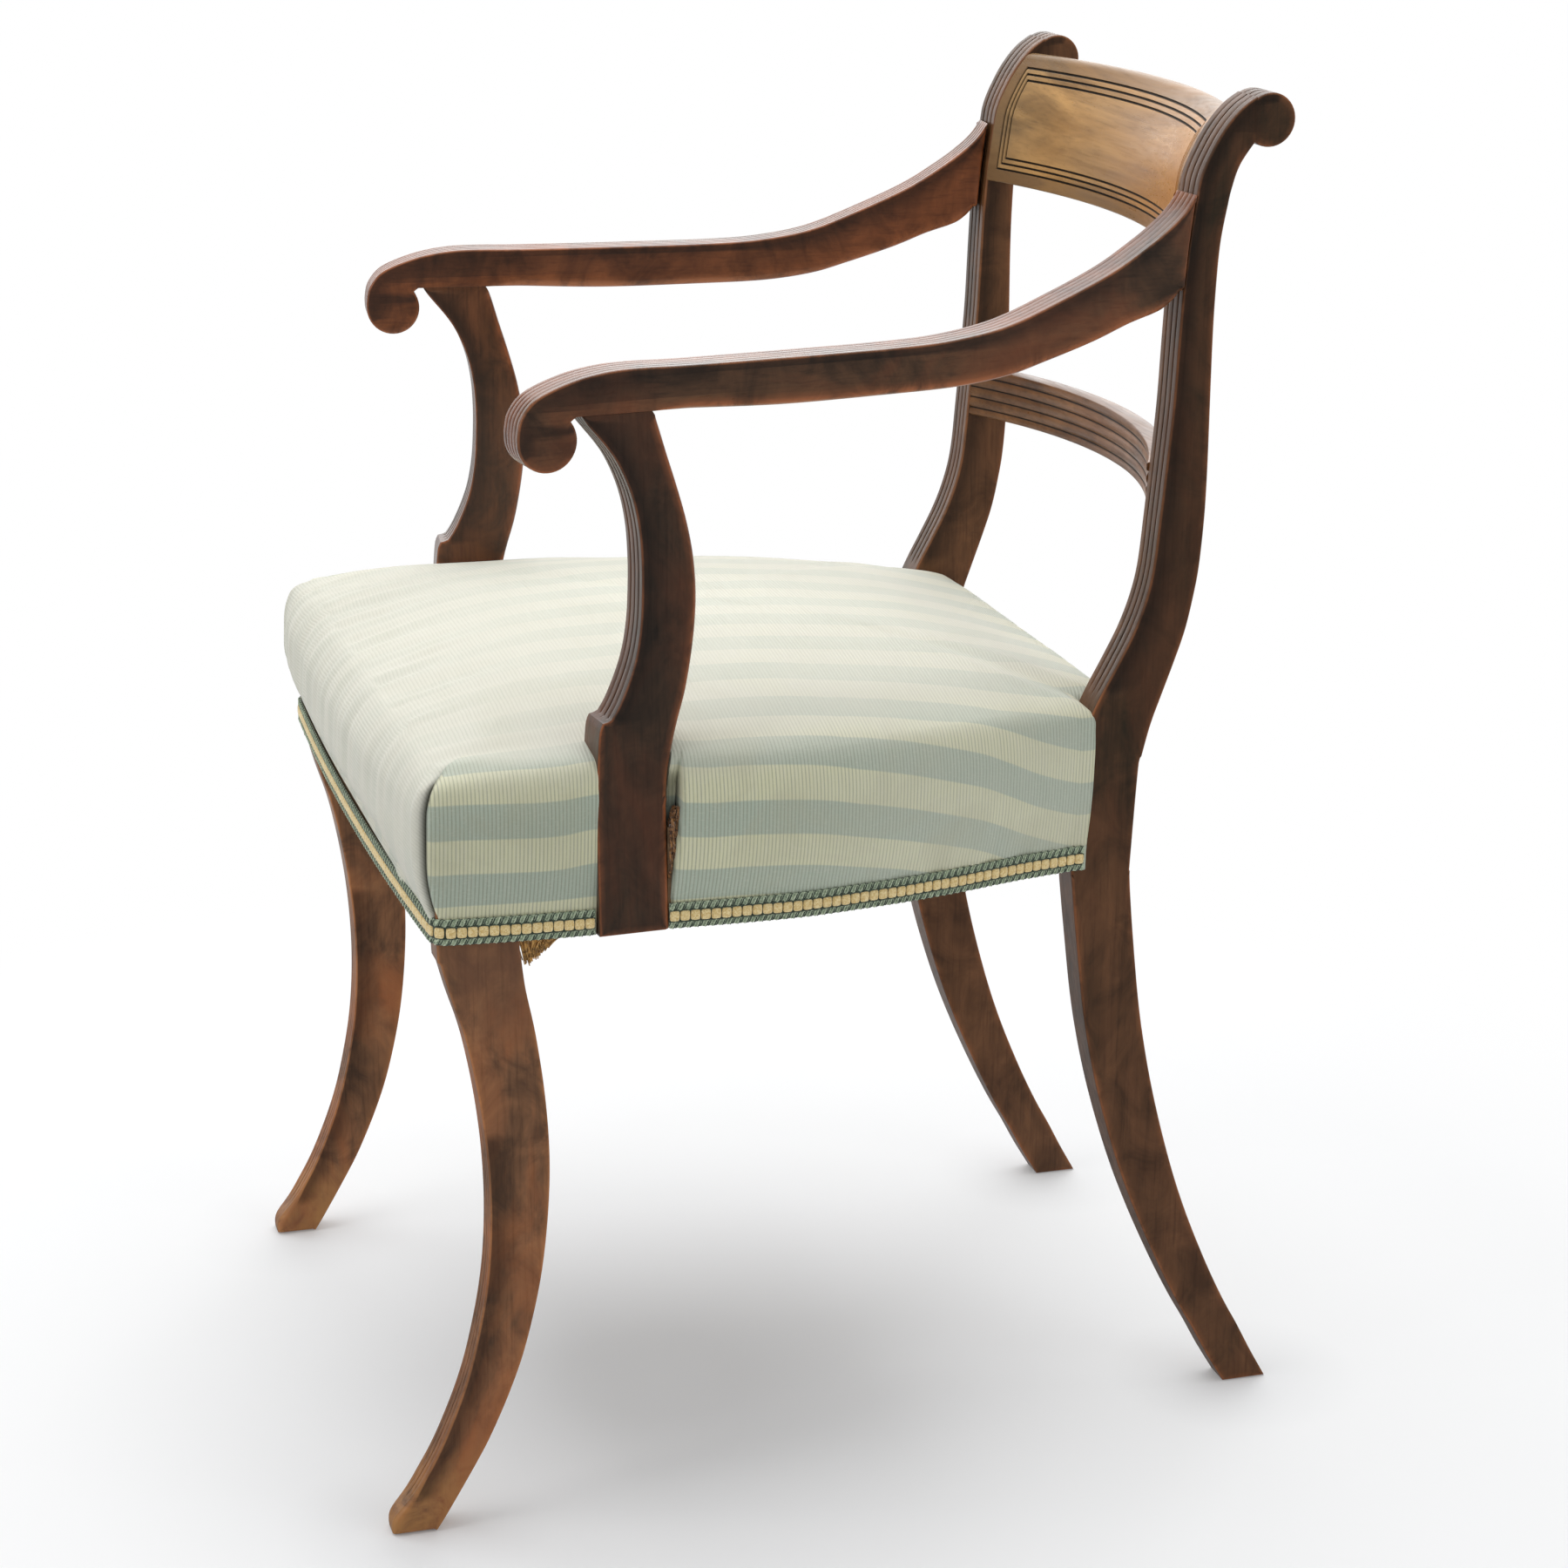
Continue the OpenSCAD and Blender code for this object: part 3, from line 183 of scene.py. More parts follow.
class Nodes:
    """The nodes of a tree, made by short calls."""

    def __init__(self, tree):
        self.tree = tree

    def node(self, kind, values=None, **settings):
        made = self.tree.nodes.new(kind)
        for key, value in settings.items():
            setattr(made, key, value)
        set_inputs(made, values or {})
        return made

    def where(self):
        return self.node("ShaderNodeTexCoord").outputs["Object"]

    def scaled(self, vector, scale):
        return self.node("ShaderNodeMapping", {"Vector": vector, "Scale": scale}
                         ).outputs["Vector"]

    def place(self, *scale):
        return self.scaled(self.where(), scale * 3 if len(scale) == 1 else scale)

    def noise(self, place, scale, detail=3.0, roughness=0.5, distortion=0.0):
        return self.node("ShaderNodeTexNoise", {
            "Vector": place, "Scale": scale, "Detail": detail, "Roughness": roughness,
            "Distortion": distortion}).outputs["Fac"]

    def grain(self, axis, scale, detail, roughness, distortion=0.0):
        """Noise drawn out along an axis, as the fibres of wood."""
        stretched = [scale * (GRAIN_STRETCH if k == axis else 1.0) for k in range(3)]
        return self.noise(self.place(*stretched), 1.0, detail, roughness, distortion)

    def ramp(self, factor, low, high, out_low=0.0, out_high=1.0):
        return self.node("ShaderNodeMapRange", {
            "Value": factor, "From Min": low, "From Max": high,
            "To Min": out_low, "To Max": out_high}).outputs["Result"]

    def maths(self, operation, a, b=0.0, clamp=False):
        made = self.node("ShaderNodeMath", operation=operation, use_clamp=clamp)
        set_inputs(made, {0: a, 1: b})
        return made.outputs["Value"]

    def times(self, a, b):
        return self.maths("MULTIPLY", a, b)

    def plus(self, a, b):
        return self.maths("ADD", a, b)

    def mix(self, factor, a, b, blend="MIX"):
        made = self.node("ShaderNodeMix", data_type="RGBA", blend_type=blend)
        set_inputs(made, {0: factor, 6: a, 7: b})
        return made.outputs[2]

    def attribute(self, name, output="Fac"):
        return self.node("ShaderNodeAttribute", attribute_name=name).outputs[output]

    def parts(self, vector):
        return self.node("ShaderNodeSeparateXYZ", {"Vector": vector}).outputs

    def vector_maths(self, operation, a, b):
        return self.node("ShaderNodeVectorMath", {0: a, 1: b}, operation=operation
                         ).outputs["Value"]

    def bump(self, height, distance, strength=1.0, normal=None):
        values = {"Height": height, "Distance": distance, "Strength": strength}
        if normal is not None:
            values["Normal"] = normal
        return self.node("ShaderNodeBump", values).outputs["Normal"]


class Shading(Nodes):
    """A material."""

    def __init__(self, name):
        self.material = bpy.data.materials.new(name)
        self.material.use_nodes = True
        super().__init__(self.material.node_tree)
        self.shader = self.tree.nodes["Principled BSDF"]

    def finish(self, values):
        set_inputs(self.shader, values)
        return self.material


def colour(red, green, blue):
    return (red, green, blue, 1.0)


BLACK = colour(0.0, 0.0, 0.0)
WHITE = colour(1.0, 1.0, 1.0)
GRAIN_STRETCH = 0.05
CROSSWISE, LENGTHWISE, UPRIGHT = range(3)
WORN_FOOT = colour(0.42, 0.2, 0.065)
DIRTY_HEAD = colour(0.075, 0.05, 0.034)
FAR_END_SHADE = colour(0.25, 0.22, 0.15)
# Painted shade, near black, for the grooves of reeds and incised lines
GROOVE_SHADE = colour(0.004, 0.003, 0.002)


def wood(name, dark, light, red, axis, worn, gloss, patch, end_wear=0.0, streak=0.35,
         drift=0.25, inside=None, low_share=0.0, glow=None, coat=0.1):
    """Polished mahogany, whose grain runs along an axis of the frame.

    Inner faces, and by low_share the wood below the seat, take the two tones of inside.
    glow colours the end towards +X, and then the end towards -X is painted darker and greyer, as
    shade near the post. end_wear is the height up to which a foot is worn.
    """
    s = Shading(name)
    fibres = s.grain(axis, 520, 4.0, 0.62, 0.2)
    bands = s.grain(axis, 60, 3.0, 0.6, 0.4)
    drawn_out = [16 * GRAIN_STRETCH ** drift if k == axis else 16 for k in range(3)]
    cloud = s.noise(s.place(*drawn_out), 1.0, 5.0, 0.62, 0.2 / drift)
    blotch = s.noise(s.place(34, 30, 24), 1.0, 4.0, 0.65, 1.2)
    tone = s.plus(s.times(bands, streak), s.times(blotch, 1.0 - streak))
    base = s.mix(s.ramp(tone, 0.36, 0.64), dark, light)
    base = s.mix(s.ramp(fibres, 0.5, 0.7, 0.0, 0.4), base, s.mix(0.6, dark, BLACK))
    base = s.mix(s.ramp(cloud, 0.42, 0.64, 0.0, patch), base, red)
    base = s.mix(s.ramp(cloud, 0.46, 0.34, 0.0, 0.4 * (1 - streak)), base,
                 s.mix(0.5, dark, BLACK))
    place = s.parts(s.where())
    if inside:
        warm = s.mix(s.ramp(tone, 0.36, 0.64), *inside)
        warm = s.mix(s.ramp(fibres, 0.5, 0.7, 0.0, 0.4), warm, s.mix(0.6, inside[0], BLACK))
        low = s.ramp(place["Z"], 0.46, 0.36, 0.0, low_share)
        base = s.mix(s.maths("MAXIMUM", s.times(s.attribute("inside"), 0.8), low), base, warm)
    if glow:
        end = s.times(s.ramp(place["X"], -0.04, 0.16, 0.0, 0.85),
                      s.ramp(place["Z"], 0.83, 0.785, 0.35, 1.0))
        base = s.mix(end, base, glow)
        # Painted shade: the end towards -X, by the far post, is darker and greyer
        base = s.mix(s.ramp(place["X"], -0.09, -0.15, 0.0, 0.45), base,
                     s.mix(0.5, dark, FAR_END_SHADE))
    wear = s.times(s.attribute("wear"),
                   s.ramp(tone if glow else blotch, 0.34, 0.58, 0.1, 0.8))
    base = s.mix(wear, base, worn)
    if end_wear:
        foot = s.times(s.ramp(place["Z"], end_wear, 0.006), s.ramp(blotch, 0.36, 0.58))
        base = s.mix(foot, base, WORN_FOOT)
        head = s.times(s.ramp(place["Z"], 0.31, 0.355), s.ramp(cloud, 0.4, 0.55, 0.1, 0.55))
        base = s.mix(head, base, DIRTY_HEAD)
    # Grooves of reeds and incised lines are painted near black as their shade, and made rougher
    cavity_shade = s.attribute("cavity_shade")
    base = s.mix(s.ramp(cavity_shade, 0.2, 0.75, 0.0, 0.96), base, GROOVE_SHADE)
    dents = s.ramp(s.noise(s.place(150), 1.0, 2.0), 0.28, 0.4)
    rough = s.plus(s.ramp(cloud, 0.3, 0.7, gloss - 0.05, gloss + 0.1),
                   s.ramp(fibres, 0.4, 0.7, 0.0, 0.1))
    rough = s.plus(rough, s.times(cavity_shade, 0.4))
    normal = s.bump(fibres, 0.00005, 0.4)
    normal = s.bump(dents, 0.00012, 0.3, normal)
    return s.finish({"Base Color": base, "Roughness": rough, "Normal": normal,
                     "Specular IOR Level": 0.3, "Coat Weight": coat, "Coat Roughness": 0.2})


BEECH_DARK = colour(0.13, 0.075, 0.036)
BEECH_LIGHT = colour(0.26, 0.16, 0.08)


def plain_wood(name, axis):
    s = Shading(name)
    fibres = s.grain(axis, 500, 4.0, 0.6)
    bands = s.grain(axis, 60, 2.0, 0.5, 0.8)
    base = s.mix(s.ramp(bands, 0.3, 0.7), BEECH_DARK, BEECH_LIGHT)
    base = s.mix(s.ramp(fibres, 0.5, 0.7, 0.0, 0.45), base, s.mix(0.5, BEECH_DARK, BLACK))
    return s.finish({"Base Color": base, "Roughness": 0.68,
                     "Normal": s.bump(fibres, 0.0002, 0.5)})


def steel():
    s = Shading("screw_steel_aged")
    spots = s.noise(s.place(400), 1.0, 3.0)
    base = s.mix(s.ramp(spots, 0.5, 0.65), colour(0.42, 0.4, 0.37), colour(0.16, 0.09, 0.05))
    return s.finish({"Base Color": base, "Metallic": 0.9,
                     "Roughness": s.ramp(spots, 0.4, 0.7, 0.35, 0.75)})


def woven(name, light, dark, pitch, depth):
    """A coarse plain weave of jute, by the place across and along the seat."""
    s = Shading(name)
    waves = [s.node("ShaderNodeTexWave", {
        "Vector": s.place(1.0, 1.0, 0.0), "Scale": math.pi / (10 * pitch * MM),
        "Distortion": 1.2, "Detail": 2.0, "Detail Scale": 3.0},
        bands_direction=direction).outputs["Fac"] for direction in ("X", "Y")]
    height = s.times(*waves)
    fuzz = s.noise(s.place(900), 1.0, 4.0, 0.7)
    base = s.mix(s.ramp(height, 0.05, 0.6), dark, light)
    base = s.mix(s.ramp(fuzz, 0.45, 0.7, 0.0, 0.5), base, s.mix(0.5, dark, light))
    normal = s.bump(s.plus(height, s.times(fuzz, 0.4)), depth * MM, 0.9)
    return s.finish({"Base Color": base, "Roughness": 0.9, "Normal": normal,
                     "Sheen Weight": 0.2})


def hair(name, dark, light):
    s = Shading(name)
    strands = s.noise(s.place(500, 160, 420), 1.0, 5.0, 0.7, 2.5)
    base = s.mix(s.ramp(strands, 0.35, 0.65), dark, light)
    return s.finish({"Base Color": base, "Roughness": 0.85,
                     "Normal": s.bump(strands, 0.001, 0.8)})


# Seat fabric: a ribbed stripe. The attribute "weave" holds the places across and along it, in mm
STRIPE_PITCH = 41.6
RIB_PITCH = 2.3
THREAD_PITCH = 0.9
CREAM = colour(0.73, 0.73, 0.5)
# Paler tones that the painted sheen takes the stripes to; the greyed cream also tints slubs
GREYED_CREAM = colour(0.69, 0.68, 0.59)
BLUE = colour(0.47, 0.54, 0.44)
BLUE_SHEEN = colour(0.63, 0.638, 0.555)
RIB_SHADE = colour(0.2, 0.21, 0.135)
PALE_SPECK = colour(0.78, 0.77, 0.64)
GRIME = colour(0.42, 0.4, 0.24)
# Painted shade, near black, for seams, tears and hollows under the supports, also used for a
# little soiling
SHADE_AND_DIRT_DARK = colour(0.022, 0.024, 0.02)


def seat_fabric():
    s = Shading("seat_fabric_striped")
    weave = s.attribute("weave", "Vector")
    across, down = s.parts(weave)["X"], s.parts(weave)["Y"]
    turn = s.maths("FRACT", s.maths("DIVIDE", across, STRIPE_PITCH))
    stripe = s.ramp(s.maths("ABSOLUTE", s.maths("SUBTRACT", turn, 0.5)), 0.262, 0.238)
    rib = s.maths("SINE", s.times(down, 2 * math.pi / RIB_PITCH))
    yarn = s.maths("SINE", s.times(across, 2 * math.pi / THREAD_PITCH))
    slub = s.noise(s.scaled(weave, (0.05, 1.3, 0.0)), 1.0, 3.0, 0.6)
    specks = s.noise(s.scaled(weave, (0.9, 0.3, 0.0)), 1.0, 3.0, 0.6)
    stain = s.noise(s.place(13, 13, 16), 1.0, 4.0, 0.6, 0.8)
    # Painted sheen: where the attribute says, the cloth is painted paler, with fainter stripes,
    # rib shade and grime, as light glancing off the top, the front and the rear of the sides
    painted_sheen_base = s.attribute("painted_sheen")
    painted_sheen = s.maths("ADD", painted_sheen_base, s.ramp(stain, 0.3, 0.7, -0.12, 0.12), True)
    shown = s.times(stripe, s.ramp(painted_sheen_base, 1.0, 2.0, 1.0, 0.1))
    base = s.mix(shown, s.mix(painted_sheen, CREAM, GREYED_CREAM), s.mix(painted_sheen, BLUE, BLUE_SHEEN))
    depth = s.times(s.ramp(rib, 0.1, 1.0), s.ramp(painted_sheen, 0.0, 1.0, 0.56, 0.16))
    base = s.mix(s.times(depth, s.ramp(slub, 0.35, 0.65, 0.6, 1.2)), base, RIB_SHADE)
    base = s.mix(s.ramp(specks, 0.52, 0.72, 0.0, 0.2), base, PALE_SPECK)
    base = s.mix(s.ramp(slub, 0.48, 0.68, 0.0, 0.34), base,
                 s.mix(s.times(stripe, 0.5), GREYED_CREAM, BLUE))
    grime = s.times(s.ramp(stain, 0.5, 0.72), s.ramp(painted_sheen, 0.0, 1.0, 0.3, 0.1))
    base = s.mix(grime, base, GRIME)
    # Painted shade in the seams, the tears and under the supports, and a little soiling with
    # painted shade before each support
    base = s.mix(s.ramp(s.attribute("shade_and_dirt"), 0.0, 1.0, 0.0, 0.94), base, SHADE_AND_DIRT_DARK)
    height = s.plus(s.times(rib, -0.5), s.times(yarn, 0.15))
    normal = s.bump(height, 0.00022, 0.7)
    return s.finish({"Base Color": base, "Roughness": 0.72, "Normal": normal,
                     "Sheen Weight": 0.3, "Sheen Roughness": 0.4,
                     "Sheen Tint": colour(1.0, 0.98, 0.92), "Specular IOR Level": 0.4})


def thread(name, dark, light, scale):
    s = Shading(name)
    strands = s.noise(s.place(scale), 1.0, 3.0, 0.6, 1.0)
    base = s.mix(s.ramp(strands, 0.35, 0.65), dark, light)
    return s.finish({"Base Color": base, "Roughness": 0.65, "Sheen Weight": 0.4,
                     "Normal": s.bump(strands, 0.0004, 0.7)})


POST_WOOD = wood(
    "post_mahogany_waxed", colour(0.032, 0.021, 0.01), colour(0.09, 0.042, 0.018),
    colour(0.15, 0.045, 0.014), UPRIGHT, colour(0.3, 0.105, 0.036), 0.33, 0.4,
    inside=(colour(0.085, 0.036, 0.014), colour(0.21, 0.09, 0.036)), low_share=0.6)
LEG_WOOD = wood(
    "leg_mahogany_waxed", colour(0.13, 0.064, 0.032), colour(0.36, 0.162, 0.07),
    colour(0.45, 0.145, 0.045), UPRIGHT, colour(0.5, 0.2, 0.07), 0.4, 0.6,
    end_wear=0.06, streak=0.2)
ARM_WOOD = wood(
    "arm_mahogany_waxed", colour(0.05, 0.026, 0.013), colour(0.17, 0.078, 0.035),
    colour(0.26, 0.068, 0.02), LENGTHWISE, colour(0.4, 0.13, 0.045), 0.3, 0.5,
    inside=(colour(0.085, 0.026, 0.009), colour(0.28, 0.085, 0.027)), coat=0.4)
SUPPORT_WOOD = wood(
    "support_mahogany_waxed", colour(0.026, 0.017, 0.01), colour(0.08, 0.04, 0.021),
    colour(0.16, 0.045, 0.015), UPRIGHT, colour(0.32, 0.1, 0.034), 0.33, 0.4,
    inside=(colour(0.06, 0.023, 0.008), colour(0.18, 0.062, 0.021)), coat=0.3)
CREST_WOOD = wood(
    "crest_mahogany_waxed", colour(0.17, 0.09, 0.032), colour(0.56, 0.32, 0.12),
    colour(0.52, 0.26, 0.07), CROSSWISE, colour(0.15, 0.082, 0.038), 0.26, 0.6,
    streak=0.95, drift=0.7, glow=colour(0.45, 0.16, 0.015), coat=0.0)
MID_WOOD = wood(
    "mid_mahogany_waxed", colour(0.09, 0.038, 0.014), colour(0.26, 0.12, 0.048),
    colour(0.26, 0.095, 0.028), CROSSWISE, colour(0.34, 0.19, 0.1), 0.3, 0.3, streak=0.7)
BEECH_ACROSS = plain_wood("beech_across", CROSSWISE)
BEECH_ALONG = plain_wood("beech_along", LENGTHWISE)
STEEL = steel()
WEBBING = woven("webbing_jute_woven", colour(0.5, 0.39, 0.23), colour(0.23, 0.16, 0.08), 2.2, 0.5)
HESSIAN = woven("hessian_woven", colour(0.46, 0.36, 0.21), colour(0.16, 0.11, 0.055), 1.3, 0.4)
HAIR = hair("stuffing_hair_loose", colour(0.07, 0.05, 0.035), colour(0.3, 0.24, 0.16))
FABRIC = seat_fabric()
BRAID_GOLD = thread("seat_braid_gold", colour(0.72, 0.5, 0.17), colour(0.97, 0.8, 0.44), 700)
BRAID_GREEN = thread("seat_braid_green", colour(0.25, 0.34, 0.22), colour(0.68, 0.77, 0.56), 600)
BRAID_DARK = thread("seat_braid_dark", colour(0.02, 0.035, 0.026), colour(0.07, 0.11, 0.07), 800)
FIBRE = thread("tuft_fibre", colour(0.2, 0.085, 0.018), colour(0.88, 0.53, 0.16), 260)
TORN_FIBRE = thread("hessian_torn_fibre", colour(0.07, 0.025, 0.007), colour(0.5, 0.23, 0.07), 300)


# Making pieces
def add_object(name, points, faces, materials, replaces, sharp=35.0, values=None,
               face_material=None):
    """A piece from points in millimetres, riding on the chair's one body."""
    mesh = bpy.data.meshes.new(name)
    mesh.from_pydata([tuple(float(c) * MM for c in p) for p in points], [], faces)
    piece = bmesh.new()
    piece.from_mesh(mesh)
    bmesh.ops.recalc_face_normals(piece, faces=piece.faces)
    piece.to_mesh(mesh)
    piece.free()
    for material in materials:
        mesh.materials.append(material)
    if face_material is not None:
        mesh.polygons.foreach_set("material_index", face_material)
    mesh.polygons.foreach_set("use_smooth", [True] * len(mesh.polygons))
    mesh.set_sharp_from_angle(angle=math.radians(sharp))
    for key, numbers in (values or {}).items():
        mesh.attributes.new(key, "FLOAT", "POINT").data.foreach_set("value", numbers)
    made = bpy.data.objects.new(name, mesh)
    bpy.context.scene.collection.objects.link(made)
    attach(made, "root")
    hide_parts(*replaces)
    return made


def grid_faces(rows, columns, closed_rows=False, closed_columns=False):
    faces = []
    for r in range(rows if closed_rows else rows - 1):
        here, after = r * columns, (r + 1) % rows * columns
        for c in range(columns if closed_columns else columns - 1):
            d = (c + 1) % columns
            faces.append((here + c, here + d, after + d, after + c))
    return faces


def fan(ring, count, tip):
    """Triangles from a ring of points to one point."""
    return [(ring + i, ring + (i + 1) % count, tip) for i in range(count)]


class Heap:
    """Parts gathered into one piece, each with the number of its material."""

    def __init__(self):
        self.points, self.faces, self.kinds = [], [], []

    def take(self, part, kind=0):
        points, faces = part
        offset = len(self.points)
        self.points.extend(points)
        self.faces.extend(tuple(offset + i for i in face) for face in faces)
        self.kinds.extend([kind] * len(faces))


def tube(centres, radius, sides, taper=0.0):
    """A tube round a line, thinner towards its end by taper."""
    centres = np.asarray(centres, float)
    ahead = np.gradient(centres, axis=0)
    ahead /= np.linalg.norm(ahead, axis=1, keepdims=True)
    points = []
    for i, (place, way) in enumerate(zip(centres, ahead)):
        u = np.cross(way, UP)
        if np.linalg.norm(u) < 0.1:
            u = np.cross(way, BACKWARD)
        u /= np.linalg.norm(u)
        v = np.cross(way, u)
        r = radius * (1 - taper * i / len(centres))
        for k in range(sides):
            a = 2 * math.pi * k / sides
            points.append(place + r * (math.cos(a) * u + math.sin(a) * v))
    faces = grid_faces(len(centres), sides, closed_columns=True)
    last = (len(centres) - 1) * sides
    faces += [tuple(reversed(range(sides))), tuple(range(last, last + sides))]
    return points, faces


def catmull(a, b, c, d, t):
    return 0.5 * (2 * b + (c - a) * t + (2 * a - 5 * b + 4 * c - d) * t * t
                  + (3 * b - a - 3 * c + d) * t * t * t)


def finer(rows, steps):
    """Rows with smooth steps between them."""
    fine = []
    last = len(rows) - 1
    for i in range(last):
        fine += [catmull(rows[max(i - 1, 0)], rows[i], rows[i + 1], rows[min(i + 2, last)],
                         k / steps) for k in range(steps)]
    return np.array(fine + [rows[last]])


def run_along(points):
    """Length of an open line up to each of its points."""
    return np.concatenate([[0], np.cumsum(np.linalg.norm(np.diff(points, axis=0), axis=1))])


def step_up(value, low, high):
    t = np.clip((value - low) / (high - low), 0, 1)
    return t * t * (3 - 2 * t)


def bell(value, middle, width):
    return np.exp(-((value - middle) / width) ** 2)


def smooth_line(points, step):
    """A smooth open line through points, divided evenly."""
    fine = finer(np.asarray(points, float), 8)
    run = run_along(fine)
    count = max(1, int(round(run[-1] / step)))
    at = np.linspace(0, run[-1], count + 1)
    return np.stack([np.interp(at, run, fine[:, k]) for k in range(fine.shape[1])], 1)


# Boards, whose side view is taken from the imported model
CORNER_TURN = math.radians(32)


def outer_loop(node, facing):
    """The edge of a board's flat outer face, in order, in millimetres."""
    mesh = frame["nodes"][node].data
    flat = np.empty(len(mesh.vertices) * 3, np.float32)
    mesh.vertices.foreach_get("co", flat)
    places, index = np.unique(np.round(flat.reshape(-1, 3) / MM, 3), axis=0,
                              return_inverse=True)
    index = index.ravel()
    mesh.calc_loop_triangles()
    triangles = index[np.array([t.vertices[:] for t in mesh.loop_triangles])]
    a, b, c = (places[triangles[:, k]] for k in range(3))
    normal = np.cross(b - a, c - a)
    size = np.linalg.norm(normal, axis=1)
    chosen = triangles[(normal @ facing > 0.97 * size) & (size > 1e-6)]
    after = {}
    for triangle in chosen:
        for k in range(3):
            p, q = int(triangle[k]), int(triangle[(k + 1) % 3])
            if p in after.get(q, ()):
                after[q].remove(p)
            else:
                after.setdefault(p, []).append(q)
    loops = []
    while any(after.values()):
        start = next(p for p, q in after.items() if q)
        loop, p = [start], after[start].pop()
        while p != start and after.get(p):
            loop.append(p)
            p = after[p].pop()
        loops.append(places[loop])
    return max(loops, key=lambda points: np.cross(points, np.roll(points, -1, 0)).sum(0) @ facing)


def turns(flat):
    """How far a closed loop turns at each of its points."""
    before = flat - np.roll(flat, 1, 0)
    after = np.roll(flat, -1, 0) - flat
    cross = before[:, 0] * after[:, 1] - before[:, 1] * after[:, 0]
    return np.arctan2(cross, (before * after).sum(1))


def resampled(loop, along, step, corner):
    """A closed loop smoothed between its corners and divided evenly."""
    flat = np.stack([loop @ along, loop[:, 2]], 1)
    keep = np.linalg.norm(flat - np.roll(flat, 1, 0), axis=1) > 0.05
    loop, flat = loop[keep], flat[keep]
    corners = list(np.nonzero(np.abs(turns(flat)) > corner)[0])
    runs = []
    for here, there in zip(corners, corners[1:] + [corners[0] + len(loop)]):
        run = loop[np.arange(here, there + 1) % len(loop)]
        runs.append(smooth_line(run, step)[:-1])
    smooth = np.concatenate(runs)
    smooth[:, 2] = np.maximum(smooth[:, 2], loop[:, 2].min())
    return smooth


def loop_normals(flat):
    """Outward mitres of a closed loop that runs anticlockwise."""
    before = flat - np.roll(flat, 1, 0)
    after = np.roll(flat, -1, 0) - flat
    before /= np.linalg.norm(before, axis=1, keepdims=True)
    after /= np.linalg.norm(after, axis=1, keepdims=True)
    n = np.stack([before[:, 1], -before[:, 0]], 1)
    m = np.stack([after[:, 1], -after[:, 0]], 1)
    return (n + m) / np.maximum(1 + (n * m).sum(1), 0.5)[:, None]


ARRIS_STEPS = 4
REED_STEPS = 8
REED_D = 1.3
REED_POWER = 3.8
EDGE_WEAR_W = 3.2
INNER_CORNER = math.radians(25)
FAR_APART = 99.0
RIM_SHARE = 0.3
OUTER_REED = 0.55
TOE_PASSES = 30


def reed_depth(share):
    """How deep a row of rounded reeds is at a share of one reed's width."""
    return 1 - (1 - abs(2 * share - 1) ** REED_POWER) ** (1 / REED_POWER)


def edge_rim(flat, radius):
    """Width of the worn rim round a flat face, less where the board is thin."""
    step = np.linalg.norm(np.roll(flat, -1, 0) - flat, axis=1)
    run = np.concatenate([[0], np.cumsum(step)])
    around = abs(run[:-1, None] - run[None, :-1])
    around = np.minimum(around, run[-1] - around)
    apart = np.linalg.norm(flat[:, None] - flat[None], axis=2)
    thick = np.where(around > 2.2 * apart, apart, FAR_APART)
    np.fill_diagonal(thick, FAR_APART)
    rim = np.minimum(RIM_SHARE * thick.min(1) - 1.2, EDGE_WEAR_W)
    turn = turns(flat)
    for corner in np.nonzero(turn > INNER_CORNER)[0]:
        rim = np.minimum(rim, 0.8 * around[:, corner] / math.tan(turn[corner] / 2) - radius)
    rim = np.maximum(rim, 0.05)
    for _ in range(3):
        rim = np.minimum(rim, (np.roll(rim, 1) + rim + np.roll(rim, -1)) / 3)
    return rim


def board_columns(reeds):
    """Lines along a board from its outer face to its inner one.

    Each has its share of the width, its places across and in from the edge as shares of the
    arris, its wear, and 1 if it lies on the worn rim of a flat face.
    """
    first = [(0.0, 0.0, 1.0, 0.0, 1.0)]
    for k in range(ARRIS_STEPS + 1):
        angle = math.pi / 2 * k / ARRIS_STEPS
        first.append((0.0, 1 - math.cos(angle), 1 - math.sin(angle),
                      math.sin(2 * angle) + 0.45 * math.cos(angle), 0.0))
    inner = reeds * REED_STEPS
    middle = [(k / inner, 0.0, 0.0, 0.0, 0.0) for k in range(inner + 1)]
    last = [(1.0, -across, *rest) for share, across, *rest in reversed(first)]
    return first + middle + last


